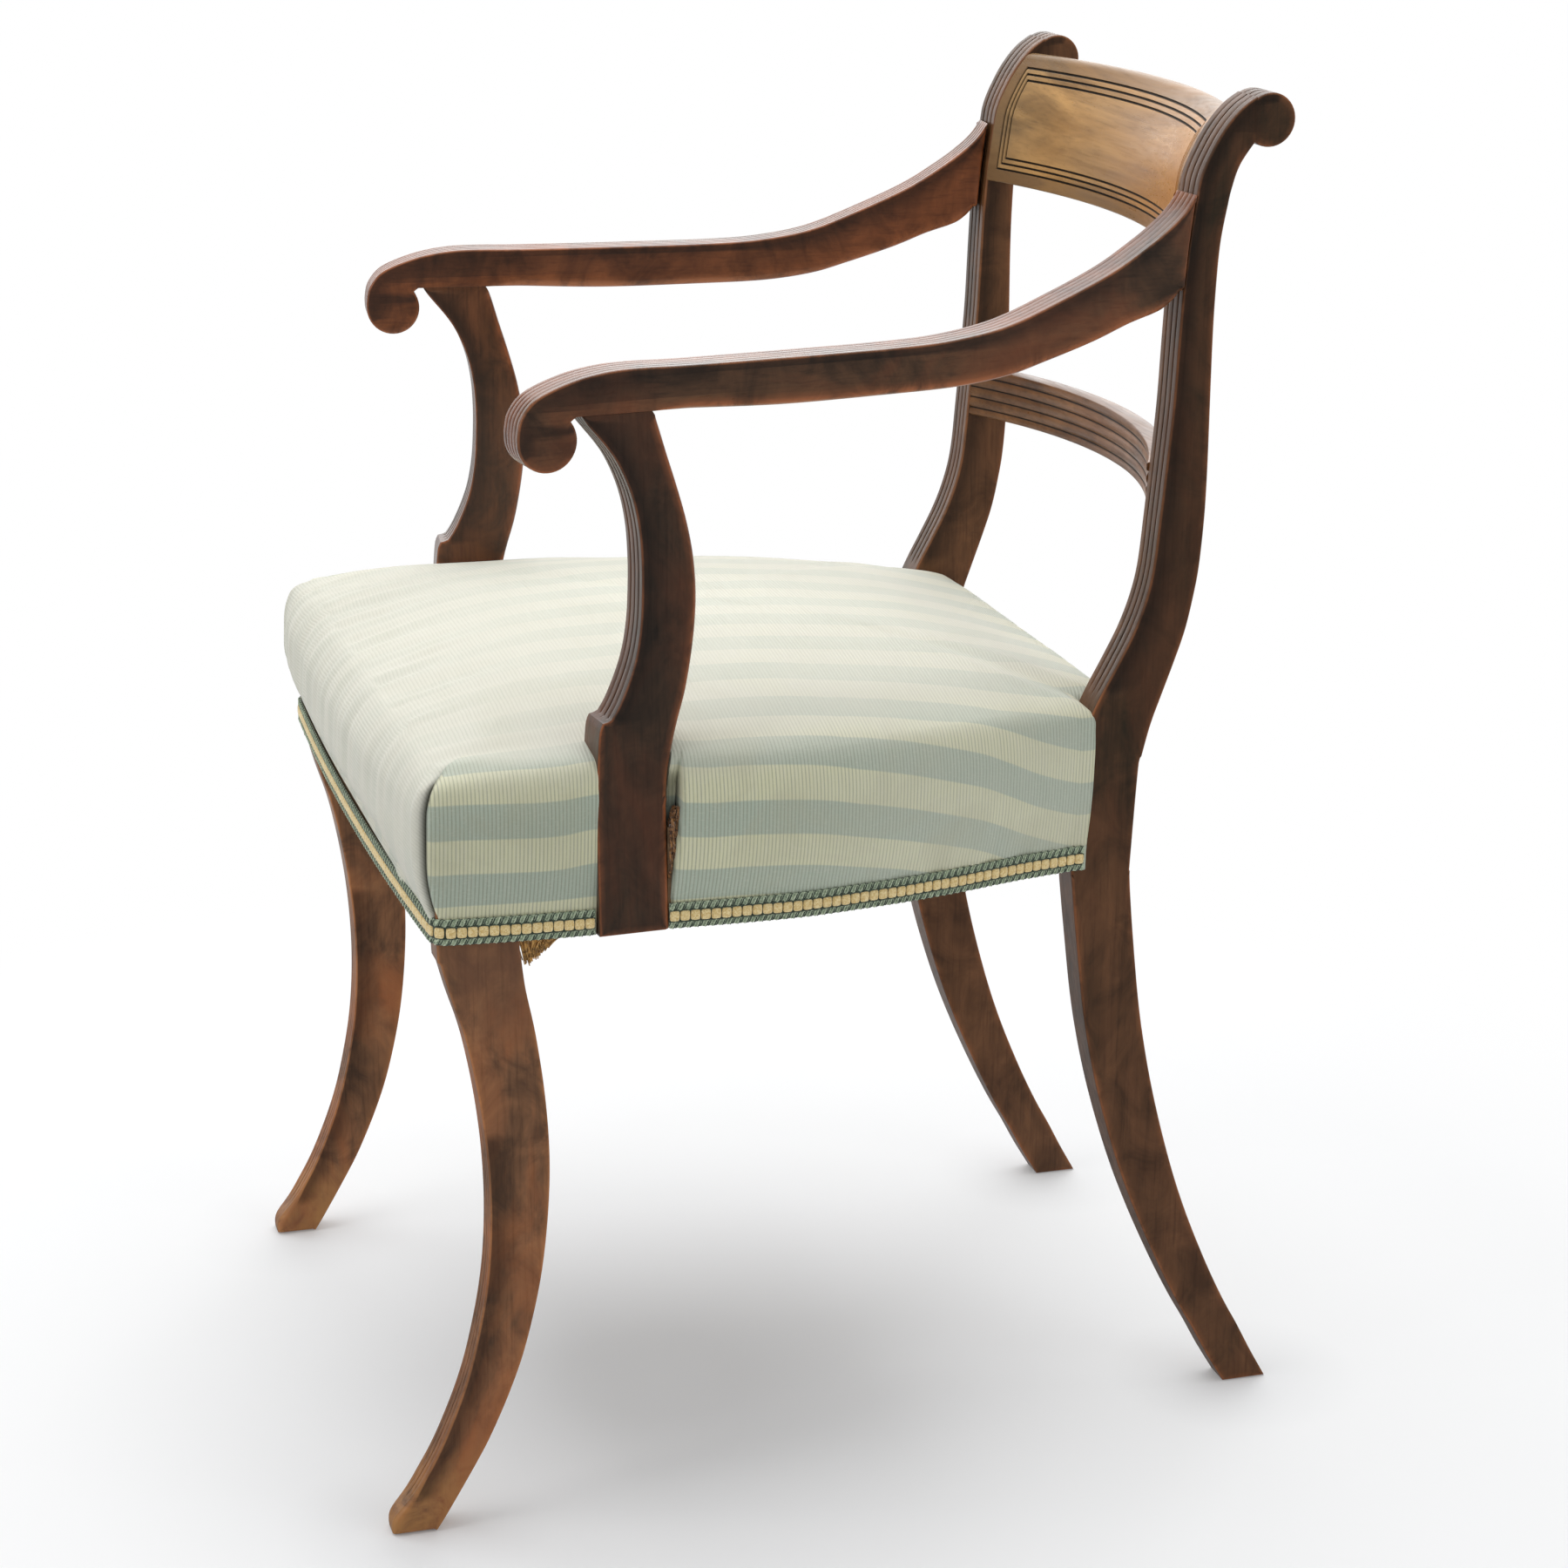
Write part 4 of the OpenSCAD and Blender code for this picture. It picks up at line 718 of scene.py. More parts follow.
def board(name, node, material, facing, along, width, arris, reeds, mask, step=2.6,
          corner=CORNER_TURN, worn_z=0.0):
    """A board with rounded arrises, and reeds where the mask says, with its mirror image.

    Below worn_z its edge is rounded by wear.
    """
    loop = resampled(outer_loop("left_" + node, facing), along, step, corner)
    for _ in range(TOE_PASSES if worn_z else 0):
        share = 0.5 * ((loop[:, 2] > 1.0) & (loop[:, 2] < worn_z))[:, None]
        loop = loop + share * ((np.roll(loop, 1, 0) + np.roll(loop, -1, 0)) / 2 - loop)
    flat = np.stack([loop @ along, loop[:, 2]], 1)
    mitres = loop_normals(flat)
    out = mitres[:, :1] * along + mitres[:, 1:] * UP
    widths = width(loop)
    radius = arris(flat, mitres)
    amount = mask(flat, mitres)
    rim = edge_rim(flat, radius)
    columns = board_columns(reeds)
    points, cavity_shade, wear, inside = [], [], [], []
    for share, across, inset, edge, face in columns:
        if share in (0.0, 1.0) and (across or inset or edge):
            place = share * widths + across * radius
        else:
            place = radius + share * (widths - 2 * radius)
        part = np.clip(place / widths, 0, 1) * reeds
        groove = amount * reed_depth(part % 1)
        groove[(part < 0.5) | (part > reeds - 0.5)] *= OUTER_REED
        depth = np.maximum(inset * radius + face * rim, groove * REED_D)
        points.append(loop - place[:, None] * facing - depth[:, None] * out)
        # The groove's depth is also how much painted shade it takes
        cavity_shade.append(groove)
        inside.append(np.full(len(loop), share))
        wear.append(np.full(len(loop), edge) * (1 - amount * 0.5) * step_up(radius, 0.3, 1.3))
    points = np.concatenate(points)
    count = len(loop)
    faces = grid_faces(len(columns), count, closed_columns=True)
    ring = [Vector((*place, 0.0)) for place in flat - (radius + rim)[:, None] * mitres]
    for first in (0, (len(columns) - 1) * count):
        faces += [tuple(first + i for i in t) for t in tessellate_polygon([ring])]
    values = {"cavity_shade": np.concatenate(cavity_shade), "wear": np.concatenate(wear),
              "inside": np.concatenate(inside)}
    for side, mirror in (("left_", 1), ("right_", -1)):
        add_object(side + name, points * [mirror, 1, 1], faces, [material], [side + node],
                   values=values)


def steady(size):
    """A measure that is the same all round a board."""
    return lambda loop, *rest: np.full(len(loop), size)


LEG_REED_LOW, LEG_REED_HIGH = 18, 266
TOE_WORN_Z = 42.0


def leg_mask(flat, n):
    return (step_up(-n[:, 0], 0.3, 0.6) * step_up(flat[:, 1], LEG_REED_LOW, LEG_REED_LOW + 12)
            * (1 - step_up(flat[:, 1], LEG_REED_HIGH - 14, LEG_REED_HIGH)))


def leg_arris(flat, n):
    return 1.4 + 3.2 * (1 - step_up(flat[:, 1], 6, 40)) * step_up(-n[:, 0], -0.6, 0.3)


board("front_leg_wood", "front_leg", LEG_WOOD, SIDEWAYS, BACKWARD,
      steady(LEG_T), leg_arris, REEDS, leg_mask, 1.8, math.radians(53), TOE_WORN_Z)

POST_REED_Z = BACK_RAIL_TOP_Z + STUFFING_H + 6
BACK_H = cad_box[1][2] / MM


def post_width(loop):
    """Thin at the foot, and from the seat up as wide as the post's outer face lies out."""
    low = POST_FOOT_T + (POST_T - POST_FOOT_T) * loop[:, 2] / BACK_RAIL_Z
    return np.where(loop[:, 2] < BACK_RAIL_Z, low, loop[:, 0] - POST_IN)


def post_mask(flat, n):
    under = step_up(-n[:, 1], 0.3, 0.5) * step_up(flat[:, 1], 0.9 * BACK_H, 0.91 * BACK_H)
    return (step_up(-n[:, 0], -0.5, -0.3) * step_up(flat[:, 1], POST_REED_Z, POST_REED_Z + 12)
            * (1 - under) * step_up(-n[:, 0] + step_up(flat[:, 1], 780, 800), 0.3, 0.6))


board("back_post_wood", "back_post", POST_WOOD, SIDEWAYS, BACKWARD,
      post_width, steady(1.5), REEDS, post_mask)

# The arm and its support lie in a frame turned by the arm's splay
ARM_SPLAY = math.radians(6.6)
ARM_OUT = np.array([math.cos(ARM_SPLAY), math.sin(ARM_SPLAY), 0.0])
ARM_ALONG = np.array([-math.sin(ARM_SPLAY), math.cos(ARM_SPLAY), 0.0])
SCROLL_Z = ARM_Z - SCROLL_DROP


def arm_mask(flat, n):
    front = flat[:, 0].min() + 2.2 * ARM_SCROLL_R
    low = step_up(flat[:, 1], SCROLL_Z - 0.72 * ARM_SCROLL_R, SCROLL_Z - 0.5 * ARM_SCROLL_R)
    scroll = np.where(flat[:, 0] < front, step_up(-n[:, 0], 0.1, 0.3) * low, 0)
    return np.maximum(step_up(n[:, 1], 0.1, 0.3), scroll)


def arm_arris(flat, n):
    """Small at the joint with the support, large under the arm behind it."""
    start = flat[:, 0].min() + ARM_SCROLL_R
    down = step_up(-n[:, 1], 0.5, 0.8)
    joint = down * step_up(flat[:, 0], start + 14, start + 18) * (
        1 - step_up(flat[:, 0], start + 62, start + 70)) * step_up(flat[:, 1], ARM_Z - 2, ARM_Z)
    behind = down * step_up(flat[:, 0], start + 66, start + 90)
    return 1.5 - 1.2 * joint + 3.4 * behind


board("arm_wood", "arm", ARM_WOOD, ARM_OUT, ARM_ALONG,
      steady(ARM_T), arm_arris, ARM_REEDS, arm_mask)


SUPPORT_REED_Z = 507.0


def support_mask(flat, n):
    """From the ledge of the foot upwards."""
    return step_up(-n[:, 0], 0.3, 0.6) * step_up(flat[:, 1], SUPPORT_REED_Z, SUPPORT_REED_Z + 3)


def support_arris(flat, n):
    size = 1.3 + 1.9 * step_up(n[:, 0], 0.4, 0.7)
    return size - (size - 0.2) * step_up(flat[:, 1], ARM_Z - 6, ARM_Z - 1)


board("arm_support_wood", "arm_support", SUPPORT_WOOD, ARM_OUT, ARM_ALONG,
      steady(ARM_T), support_arris, REEDS, support_mask)


# Bowed rails between the posts
post_loop = outer_loop("left_back_post", SIDEWAYS)


def post_front(z):
    """Place of the front of the posts at a height."""
    low = post_loop[np.argmin(post_loop[:, 2]), 1]
    edges = zip(post_loop, np.roll(post_loop, -1, 0))
    hits = [a[1] + (b[1] - a[1]) * (z - a[2]) / (b[2] - a[2])
            for a, b in edges if (a[2] - z) * (b[2] - z) < 0]
    return min(hits) if hits else low


def bow_radius(bow):
    return (POST_IN ** 2 + bow ** 2) / (2 * bow)


def bowed(name, node, section, bow, base_y, material, across, depth_at=None, sharp=35.0,
          border=None):
    """A section, as places back from its front foot and heights, swept along a bow.

    depth_at tells how deep a groove is at a place, and border where the finish is worn.
    """
    radius = bow_radius(bow)
    centre = base_y + bow - radius
    points, cavity_shade = [], []
    for back, z in section:
        for x in across:
            dent = depth_at(x, back, z) if depth_at else 0.0
            r = radius + back + dent
            points.append((x, centre + math.sqrt(r * r - x * x), z))
            # Incised lines take painted shade by their depth
            cavity_shade.append(min(1.0, dent / LINE_D))
    rows, columns = len(section), len(across)
    faces = grid_faces(rows, columns, closed_rows=True)
    ring = [Vector((back, z, 0.0)) for back, z in section]
    for column in (0, columns - 1):
        faces += [tuple(i * columns + column for i in t) for t in tessellate_polygon([ring])]
    wear = [border(x, z) if border else 0.0 for x, y, z in points]
    return add_object(name, points, faces, [material], [node], sharp,
                      {"cavity_shade": cavity_shade, "wear": wear})


LINE_EDGE = 0.28


def line_stops(at):
    """Places where the section of an incised line turns."""
    return [at, at + LINE_EDGE * LINE_W, at + (1 - LINE_EDGE) * LINE_W, at + LINE_W]


def crest_parts():
    """The crest rail's section, its stops across, its front's place and its lines' depth."""
    low_y = post_front(CREST_Z)
    top = CREST_Z + CREST_H
    near_nose = top - CREST_T / 2
    slope = (post_front(near_nose + LINE_PITCH) - post_front(near_nose - LINE_PITCH)) / (
        2 * LINE_PITCH)
    turn = math.atan(slope)
    nose = CREST_T / 2 * math.cos(turn)
    nose_z = top - nose
    insets = [CREST_BORDER + k * LINE_PITCH for k in range(LINE_COUNT)]
    rise = nose * math.sin(turn)
    heights = {CREST_Z + 0.8, nose_z + rise}
    heights.update(np.linspace(CREST_Z + 4, nose_z + rise - 3, 16))
    for inset in insets:
        heights.update(line_stops(CREST_Z + inset) + line_stops(top - inset - LINE_W))
    front = [(0.7, CREST_Z)] + [(post_front(z) - low_y, z) for z in sorted(heights)]
    middle = post_front(nose_z) - low_y + CREST_T / 2
    nose_points = [(middle + nose * math.cos(math.pi - turn - k * math.pi / 12),
                    nose_z + nose * math.sin(math.pi - turn - k * math.pi / 12))
                   for k in range(1, 12)]
    back = [(post_front(z) - low_y + CREST_T, z)
            for z in np.linspace(nose_z - rise, CREST_Z + 1.2, 12)]
    section = front + nose_points + back + [(CREST_T - 1.2, CREST_Z)]
    across = set(np.linspace(-POST_IN, POST_IN, 49))
    for inset in insets:
        for x in line_stops(POST_IN - inset - LINE_W):
            across.update((x, -x))

    def line_depth(x, back_place, z):
        if back_place > post_front(z) - low_y + 1:
            return 0.0
        depth = 0.0
        for inset in insets:
            near = min(POST_IN - abs(x), z - CREST_Z, top - z) - inset
            if -0.01 <= near <= LINE_W + 0.01:
                edge = min(near, LINE_W - near) / (LINE_EDGE * LINE_W)
                depth = max(depth, LINE_D * min(1.0, max(0.0, edge)))
        return depth
    return section, sorted(across), low_y, line_depth


section, across, low_y, line_depth = crest_parts()
bowed("crest_rail_wood", "crest_rail", section, CREST_BOW, low_y, CREST_WOOD,
      across, line_depth, border=lambda x, z: float(
          min(POST_IN - abs(x), z - CREST_Z, CREST_Z + CREST_H - z) < CREST_BORDER + 0.5))


def mid_parts():
    """The mid rail's section and its front's place."""
    height = (MID_REEDS + MID_LOW_SHARE) * MID_REED_H + MID_REED_RISE + MID_FILLET_H
    radius = (MID_REED_H ** 2 / 4 + MID_REED_RISE ** 2) / (2 * MID_REED_RISE)
    front = []
    reeds_top = MID_Z + (MID_REEDS + MID_LOW_SHARE) * MID_REED_H
    for k in range(MID_REEDS + 1):
        middle = MID_Z + (k + MID_LOW_SHARE - 0.5) * MID_REED_H
        for i in range(13):
            z = middle + (i / 12 - 0.5) * MID_REED_H
            if z >= MID_Z and (i < 12 or k == MID_REEDS):
                front.append((radius - math.sqrt(radius ** 2 - (z - middle) ** 2), z))
    front = [(1.4, MID_Z)] + front[1:]
    top = MID_Z + height
    fillet = [(MID_REED_RISE, reeds_top + MID_REED_RISE * 0.6), (0.35, top - MID_FILLET_H),
              (0.0, top - MID_FILLET_H + 0.5), (0.0, top - 1.0), (0.4, top - 0.3), (1.0, top)]
    back = [(MID_T - 2.5, top), (MID_T - 0.8, top - 0.7), (MID_T, top - 2.5),
            (MID_T, MID_Z + 2), (MID_T - 0.6, MID_Z + 0.6), (MID_T - 2, MID_Z)]
    return front + fillet + back, post_front(MID_Z + height / 2)


section, base_y = mid_parts()
mid = bowed("mid_rail_wood", "mid_rail", section, MID_BOW, base_y, MID_WOOD,
            list(np.linspace(-POST_IN, POST_IN, 61)), sharp=50.0)
# Painted shade: the grooves between the mid rail's reeds are painted near black
groove_places = [MID_Z + (k + MID_LOW_SHARE) * MID_REED_H for k in range(MID_REEDS + 1)]
dark = [max(0.0, 1 - min(abs(v.co.z / MM - z) for z in groove_places) / 0.9)
        if v.co.y / MM < base_y + MID_BOW + 3 else 0.0 for v in mid.data.vertices]
mid.data.attributes["cavity_shade"].data.foreach_set("value", dark)


# The seat, in a frame of its own that falls towards the back
SEAT_BACK_X = POST_IN - COVER_T - 2 * CLOTH_GAP
FALL = np.array([[1, 0, 0], [0, math.cos(SEAT_FALL), math.sin(SEAT_FALL)],
                 [0, -math.sin(SEAT_FALL), math.cos(SEAT_FALL)]])


def seat_places(points):
    """From the seat's frame to the chair's."""
    return np.asarray(points) @ FALL.T + [0, FRONT_Y, RAIL_Z]


# Plan of a side: share of the taper from post to leg, share of the depth
SIDE_SHARES = np.array([
    [1, 0], [1.02, 0.08], [1.02, 0.16], [0.99, 0.26], [0.97, 0.34], [0.95, 0.44], [0.9, 0.54],
    [0.79, 0.62], [0.66, 0.7], [0.45, 0.8], [0.2, 0.9], [0, 1]])
side_line = smooth_line(np.stack([
    SEAT_BACK_HALF + SIDE_SHARES[:, 0] * (SEAT_FRONT_HALF - SEAT_BACK_HALF),
    SIDE_SHARES[:, 1] * SEAT_D], 1), 2.0)


def side_x(y):
    return float(np.interp(y, side_line[:, 1], side_line[:, 0]))


CORNER_R = 6.0
CORNER_STEPS = 12
NEAR_CORNER = 20
SUPPORT_END = SUPPORT_SET + SUPPORT_D
TEAR_GAP = 6.0
TEAR_END = SUPPORT_END + TEAR_GAP


def seat_plan(step, dense=1.0, lap=POST_LAP):
    """The seat's outline from above, from the middle of the front to the middle of the back.

    Each stop has the panel that it belongs to: front, side, lap or back.
    """
    near = SEAT_FRONT_HALF - NEAR_CORNER
    stops = [(x, -FRONT_BOW * (1 - (x / SEAT_FRONT_HALF) ** 2), "front") for x in (
        *np.arange(0, near, step), *np.arange(near, SEAT_FRONT_HALF - CORNER_R, dense))]
    for k in range(CORNER_STEPS + 1):
        a = math.pi / 2 * k / CORNER_STEPS
        kind = "front" if k < CORNER_STEPS / 2 else "side"
        stops.append((SEAT_FRONT_HALF - CORNER_R * (1 - math.sin(a)),
                      CORNER_R * (1 - math.cos(a)), kind))
    sides = {*np.arange(CORNER_R + dense, NEAR_CORNER, dense),
             *np.arange(NEAR_CORNER, SEAT_D - 1, step)}
    if dense <= 1:
        for edge, way in ((SUPPORT_SET, -1), (SUPPORT_END, 1), (TEAR_END, 1)):
            sides = {y for y in sides if not -5 < way * (y - edge) < 2}
            sides.update(edge + way * d for d in (-1.0, 0.2, 0.6, 1.1, 1.8, 2.8, 4.2))
    stops += [(side_x(y), y, "side") for y in sorted(sides)]
    stops += [(SEAT_BACK_HALF, SEAT_D, "side"), (SEAT_BACK_HALF, SEAT_D + lap - 2, "side"),
              (SEAT_BACK_HALF - 0.6, SEAT_D + lap - 0.6, "lap"),
              (SEAT_BACK_HALF - 2, SEAT_D + lap, "lap"),
              (SEAT_BACK_X + 2, SEAT_D + lap, "lap"), (SEAT_BACK_X, SEAT_D + lap + 2, "back"),
              (SEAT_BACK_X, SEAT_END_Y - 4, "back"),
              (SEAT_BACK_X - 1.2, SEAT_END_Y - 1.2, "back"),
              (SEAT_BACK_X - 4, SEAT_END_Y, "back")]
    return stops + [(x, SEAT_END_Y, "back") for x in np.arange(SEAT_BACK_X - 8, 0, -step)]


def both_halves(stops):
    """The whole outline, anticlockwise seen from above, from the middle of the front."""
    stops = stops + [(-x, y, kind) for x, y, kind in reversed(stops) if x > 0.01]
    return np.array([stop[:2] for stop in stops], float), [stop[2] for stop in stops]


def corner_share(p):
    """1 at the corners of a plan, falling quickly to 0 away from them."""
    return (np.minimum(1, abs(p[:, 0]) / SEAT_FRONT_HALF) ** 4
            * np.minimum(1, abs(p[:, 1] - SEAT_MIDDLE[1]) / SEAT_MIDDLE[1]) ** 4)


# Rings of the seat. Low ones have a height over the rails' foot and a swell. Those of the pad
# have a share of its height, a swell, a size in plan and a crown
LOW_ROWS = [[0, 0], [BRAID_H, 0.0], [BRAID_H + 0.36 * (RAIL_H - BRAID_H), 0.55],
            [BRAID_H + 0.74 * (RAIL_H - BRAID_H), 0.92]]
PAD_ROWS = np.array([
    [0, 0.95, 1, 0], [0.3, 0.9, 1, 0], [0.56, 0.62, 1, 0], [0.8, 0.15, 1, 0],
    [0.95, 0, 0.98, 0.01], [1, 0, 0.935, 0.09], [1, 0, 0.86, 0.25], [1, 0, 0.74, 0.48],
    [1, 0, 0.55, 0.76], [1, 0, 0.32, 0.94], [1, 0, 0.12, 1]])


def seat_rows(out, low):
    """Rings as height, swell, size in plan, crown and share of the pad's height."""
    rows = [[z, s, 1, 0, 0] for z, s in low]
    rows += [[PAD_Z + out + h * STUFFING_H, s, p, c, h] for h, s, p, c in PAD_ROWS]
    return np.array(rows, float)


def seat_rings(plan, rows, out):
    """Points ring by ring, from the foot up to the crown."""
    mitres = loop_normals(plan)
    share = corner_share(plan)
    rings = []
    for z, swell, size, crown, height in rows:
        p = SEAT_MIDDLE + size * (plan - SEAT_MIDDLE)
        p = p + (out + swell * SWELL * (1 - DRAWN_IN * share))[:, None] * mitres
        up = z + crown * CROWN_H - height * size * CORNER_DIP * share
        rings.append(np.column_stack([p, up]))
    return np.array(rings)


# From the braid's foot to the middle of the seat, along the cloth
CLOTH_HALF_W = 340.0
# Heights between which the sides of the cloth turn over into its top
TURN_LOW, TURN_HIGH = 88, 112
FRONT_BULGE = 6.0
HEM_GAP = 6.0
SEAM_D = 3.2
TEAR_D = 7.0
TEAR_SLANT = 5.0
UNDER_SUPPORT_D = 17.0
CLOTH_T = 1.1
# Share of the swell that is drawn in, and how far along the side it reaches
BEFORE_SUPPORT = (0.72, 17)
BEHIND_SUPPORT = (0.3, 12)
AT_POST = (0.6, 34)


def droop(y):
    """How much lower the cloth lies along a side than at the supports."""
    taper = side_x(SUPPORT_SET + 2 * SUPPORT_D) - side_x(y)
    return (1.1 * max(0.0, taper) + 8 * step_up(y, 0.8 * SEAT_D, SEAT_D)
            - 6.5 * (1 - step_up(y, SUPPORT_SET, SUPPORT_END)))


def under_support(plan, margin, behind=0.0):
    """Stops of a plan that lie under an arm support."""
    return (plan[:, 1] > SUPPORT_SET - margin) & (
        plan[:, 1] < SUPPORT_END + margin + behind) & (abs(plan[:, 0]) > SEAT_BACK_HALF)


def ring_swell(rows):
    """How far each ring swells out, in millimetres."""
    return np.array([row[1] for row in rows])[:, None] * SWELL


def drawn_in(plan, rows):
    """How far the swell of a side is drawn in at an arm support and at a post."""
    x, y = abs(plan[:, 0]), plan[:, 1]
    side = (x > SEAT_BACK_HALF) & (y > CORNER_R)
    share = 0.0
    for (most, reach), middle, there in (
            (BEFORE_SUPPORT, SUPPORT_SET, side & (y < SUPPORT_SET)),
            (BEHIND_SUPPORT, TEAR_END, side & (y > TEAR_END)),
            (AT_POST, SEAT_D + POST_LAP, x > SEAT_BACK_X)):
        share = share + most * (bell(y, middle, reach) * there)
    return ring_swell(rows) * share[None]


def wander(run, length, seed):
    """Smooth noise along a line."""
    return np.array([noise.noise(Vector((u / length, seed, 0.0))) for u in run])


def cloth_push(plan, rows, heights, side, front):
    """How far the cloth stands out from its rings, and how much painted shade and dirt darken it.
    """
    y = plan[:, 1]
    # Pinched at the corner seams, with a dark line painted along each as the shade of its crease
    set_back = CORNER_R * (1 - math.sqrt(0.5))
    from_seam = np.hypot(abs(plan[:, 0]) - (SEAT_FRONT_HALF - set_back), y - set_back)
    signed = np.where(front, -from_seam, from_seam)
    seam_height = step_up(heights, 8, 16) * (1 - step_up(heights, 92, 104))
    shade_and_dirt = bell(from_seam, 0, 0.9)[None] * seam_height
    push = -SEAM_D * bell(signed, 0, 1.2)[None] * seam_height
    push = push + bell(signed, -4.5, 3.0)[None] * seam_height
    # Drawn in round the supports, cut away under them, and torn a little behind them
    push = push - drawn_in(plan, rows)
    rim = np.where(y > TEAR_END, step_up(TEAR_END + 2.6 - y, 0, 2.4), 0) * side
    torn = side & (y > SUPPORT_END) & (y < TEAR_END + 0.5)
    under = under_support(plan, 0.0)
    low_part = 1 - step_up(heights, TURN_LOW, TURN_HIGH)
    push = np.where(torn[None], push - (TEAR_D + ring_swell(rows)) * low_part,
                    push - 2.0 * rim[None] * low_part)
    push = np.where(under[None] * (heights < TURN_HIGH), -UNDER_SUPPORT_D, push)
    # Painted shade, near black, in the tears and where the cloth is cut away under the supports;
    # low on the side before each support, a little painted shade and soiling
    shade_and_dirt = np.maximum(shade_and_dirt, (0.93 * torn)[None] * (1 - 0.5 * step_up(heights, 64, 80))
                      * (1 - step_up(heights, 86, 104)))
    shade_and_dirt = np.maximum(shade_and_dirt, (under[None] * (heights < 104)).astype(float))
    shade_and_dirt = np.maximum(shade_and_dirt, 0.09 * (side & (y < SUPPORT_SET))[None]
                      * (1 - step_up(heights, 60, 100)))
    # Shallow gathers, deepest along the front, and others low on the sides near the back
    run = run_along(plan)
    gathers = wander(run, 13.0, 3.1)
    band = bell(heights, TURN_LOW, 34) * np.where(front, 1.0, 0.25)[None]
    push = push + band * (2.8 * gathers + 2.2 * wander(run, 45.0, 9.4))[None]
    rear = bell(heights, 22, 26) * (side * step_up(y, 0.6 * SEAT_D, 0.8 * SEAT_D))[None]
    return push + rear * (1.6 * gathers)[None], shade_and_dirt


def shape_hem(moved, plan, heights, side, front):
    """Slants the tear, bulges the front forward and lifts its hem over the braid."""
    x, y = plan[:, 0], plan[:, 1]
    slant = np.where(y > SUPPORT_END + 0.5, 1 - step_up(y, TEAR_END + 4, TEAR_END + 34), 0) * side
    moved[:, :, 1] -= TEAR_SLANT * slant[None] * (1 - step_up(heights, 12, TURN_LOW))
    near_front = np.where(front, 1.0, bell(y, 0, 16) * (y < 60))
    hem = HEM_GAP * near_front * step_up(-x, -SEAT_FRONT_HALF, 0)
    lifted = np.minimum(1, hem / 2)
    free = np.maximum(lifted[None], step_up(heights, 0.6 * BRAID_H, 1.4 * BRAID_H))
    moved[:, :, 1] -= FRONT_BULGE * near_front[None] * free * (
        0.35 + 0.65 * step_up(heights, 5, 45)) * (1 - step_up(heights, 80, 118))
    low_part = np.clip(1 - moved[:, :, 2] / 60, 0, 1)
    moved[:, :, 2] += low_part * ((BRAID_H + 0.5) * lifted + hem)[None]


def add_lumps(moved, rows):
    """Soft lumps all over the top, and folds near its front edge."""
    for ring, row in zip(moved, rows):
        if row[2] < 0.97:
            for place in ring:
                x, y, z = place
                lump = noise.noise(Vector((x / 70, y / 70, 0.4)))
                fold = noise.noise(Vector((x / 11, y / 80, 5.0))) * bell(y, 10, 70)
                place[2] += 1.6 * lump + 2.3 * fold


def weave_places(moved, plan, kinds, edge_level):
    """Places across and along the weave at each point, apart for the front and side panels."""
    arc = np.linalg.norm(np.diff(moved, axis=0), axis=2)
    arc = np.vstack([np.zeros(len(plan)), np.cumsum(arc, axis=0)])
    drop = np.array([droop(y) for y in plan[:, 1]])
    half_width = CLOTH_HALF_W - arc - drop
    under = under_support(plan, 0.0)
    edge_y, share = np.array(sorted(
        (moved[edge_level, i, 1], half_width[edge_level, i] / moved[edge_level, i, 0])
        for i in range(len(plan) // 2) if kinds[i] == "side" and not under[i])).T
    across = moved[:, :, 0] * np.interp(moved[:, :, 1], edge_y, share)
    values = {}
    for panel in ("front", "side"):
        s, t = across.copy(), moved[:, :, 1].copy()
        for level in range(edge_level - 1, -1, -1):
            delta = moved[level] - moved[level + 1]
            if panel == "side":
                s[level] = np.sign(plan[:, 0] + 1e-9) * half_width[level]
                t[level] = t[level + 1] + delta[:, 1]
            else:
                away = np.where(plan[:, 1] < SEAT_MIDDLE[1], -1, 1)
                s[level] = s[level + 1] + delta[:, 0]
                t[level] = t[level + 1] + away * np.hypot(delta[:, 1], delta[:, 2])
        values[panel] = np.stack([s, t], 2).reshape(-1, 2)
    return values


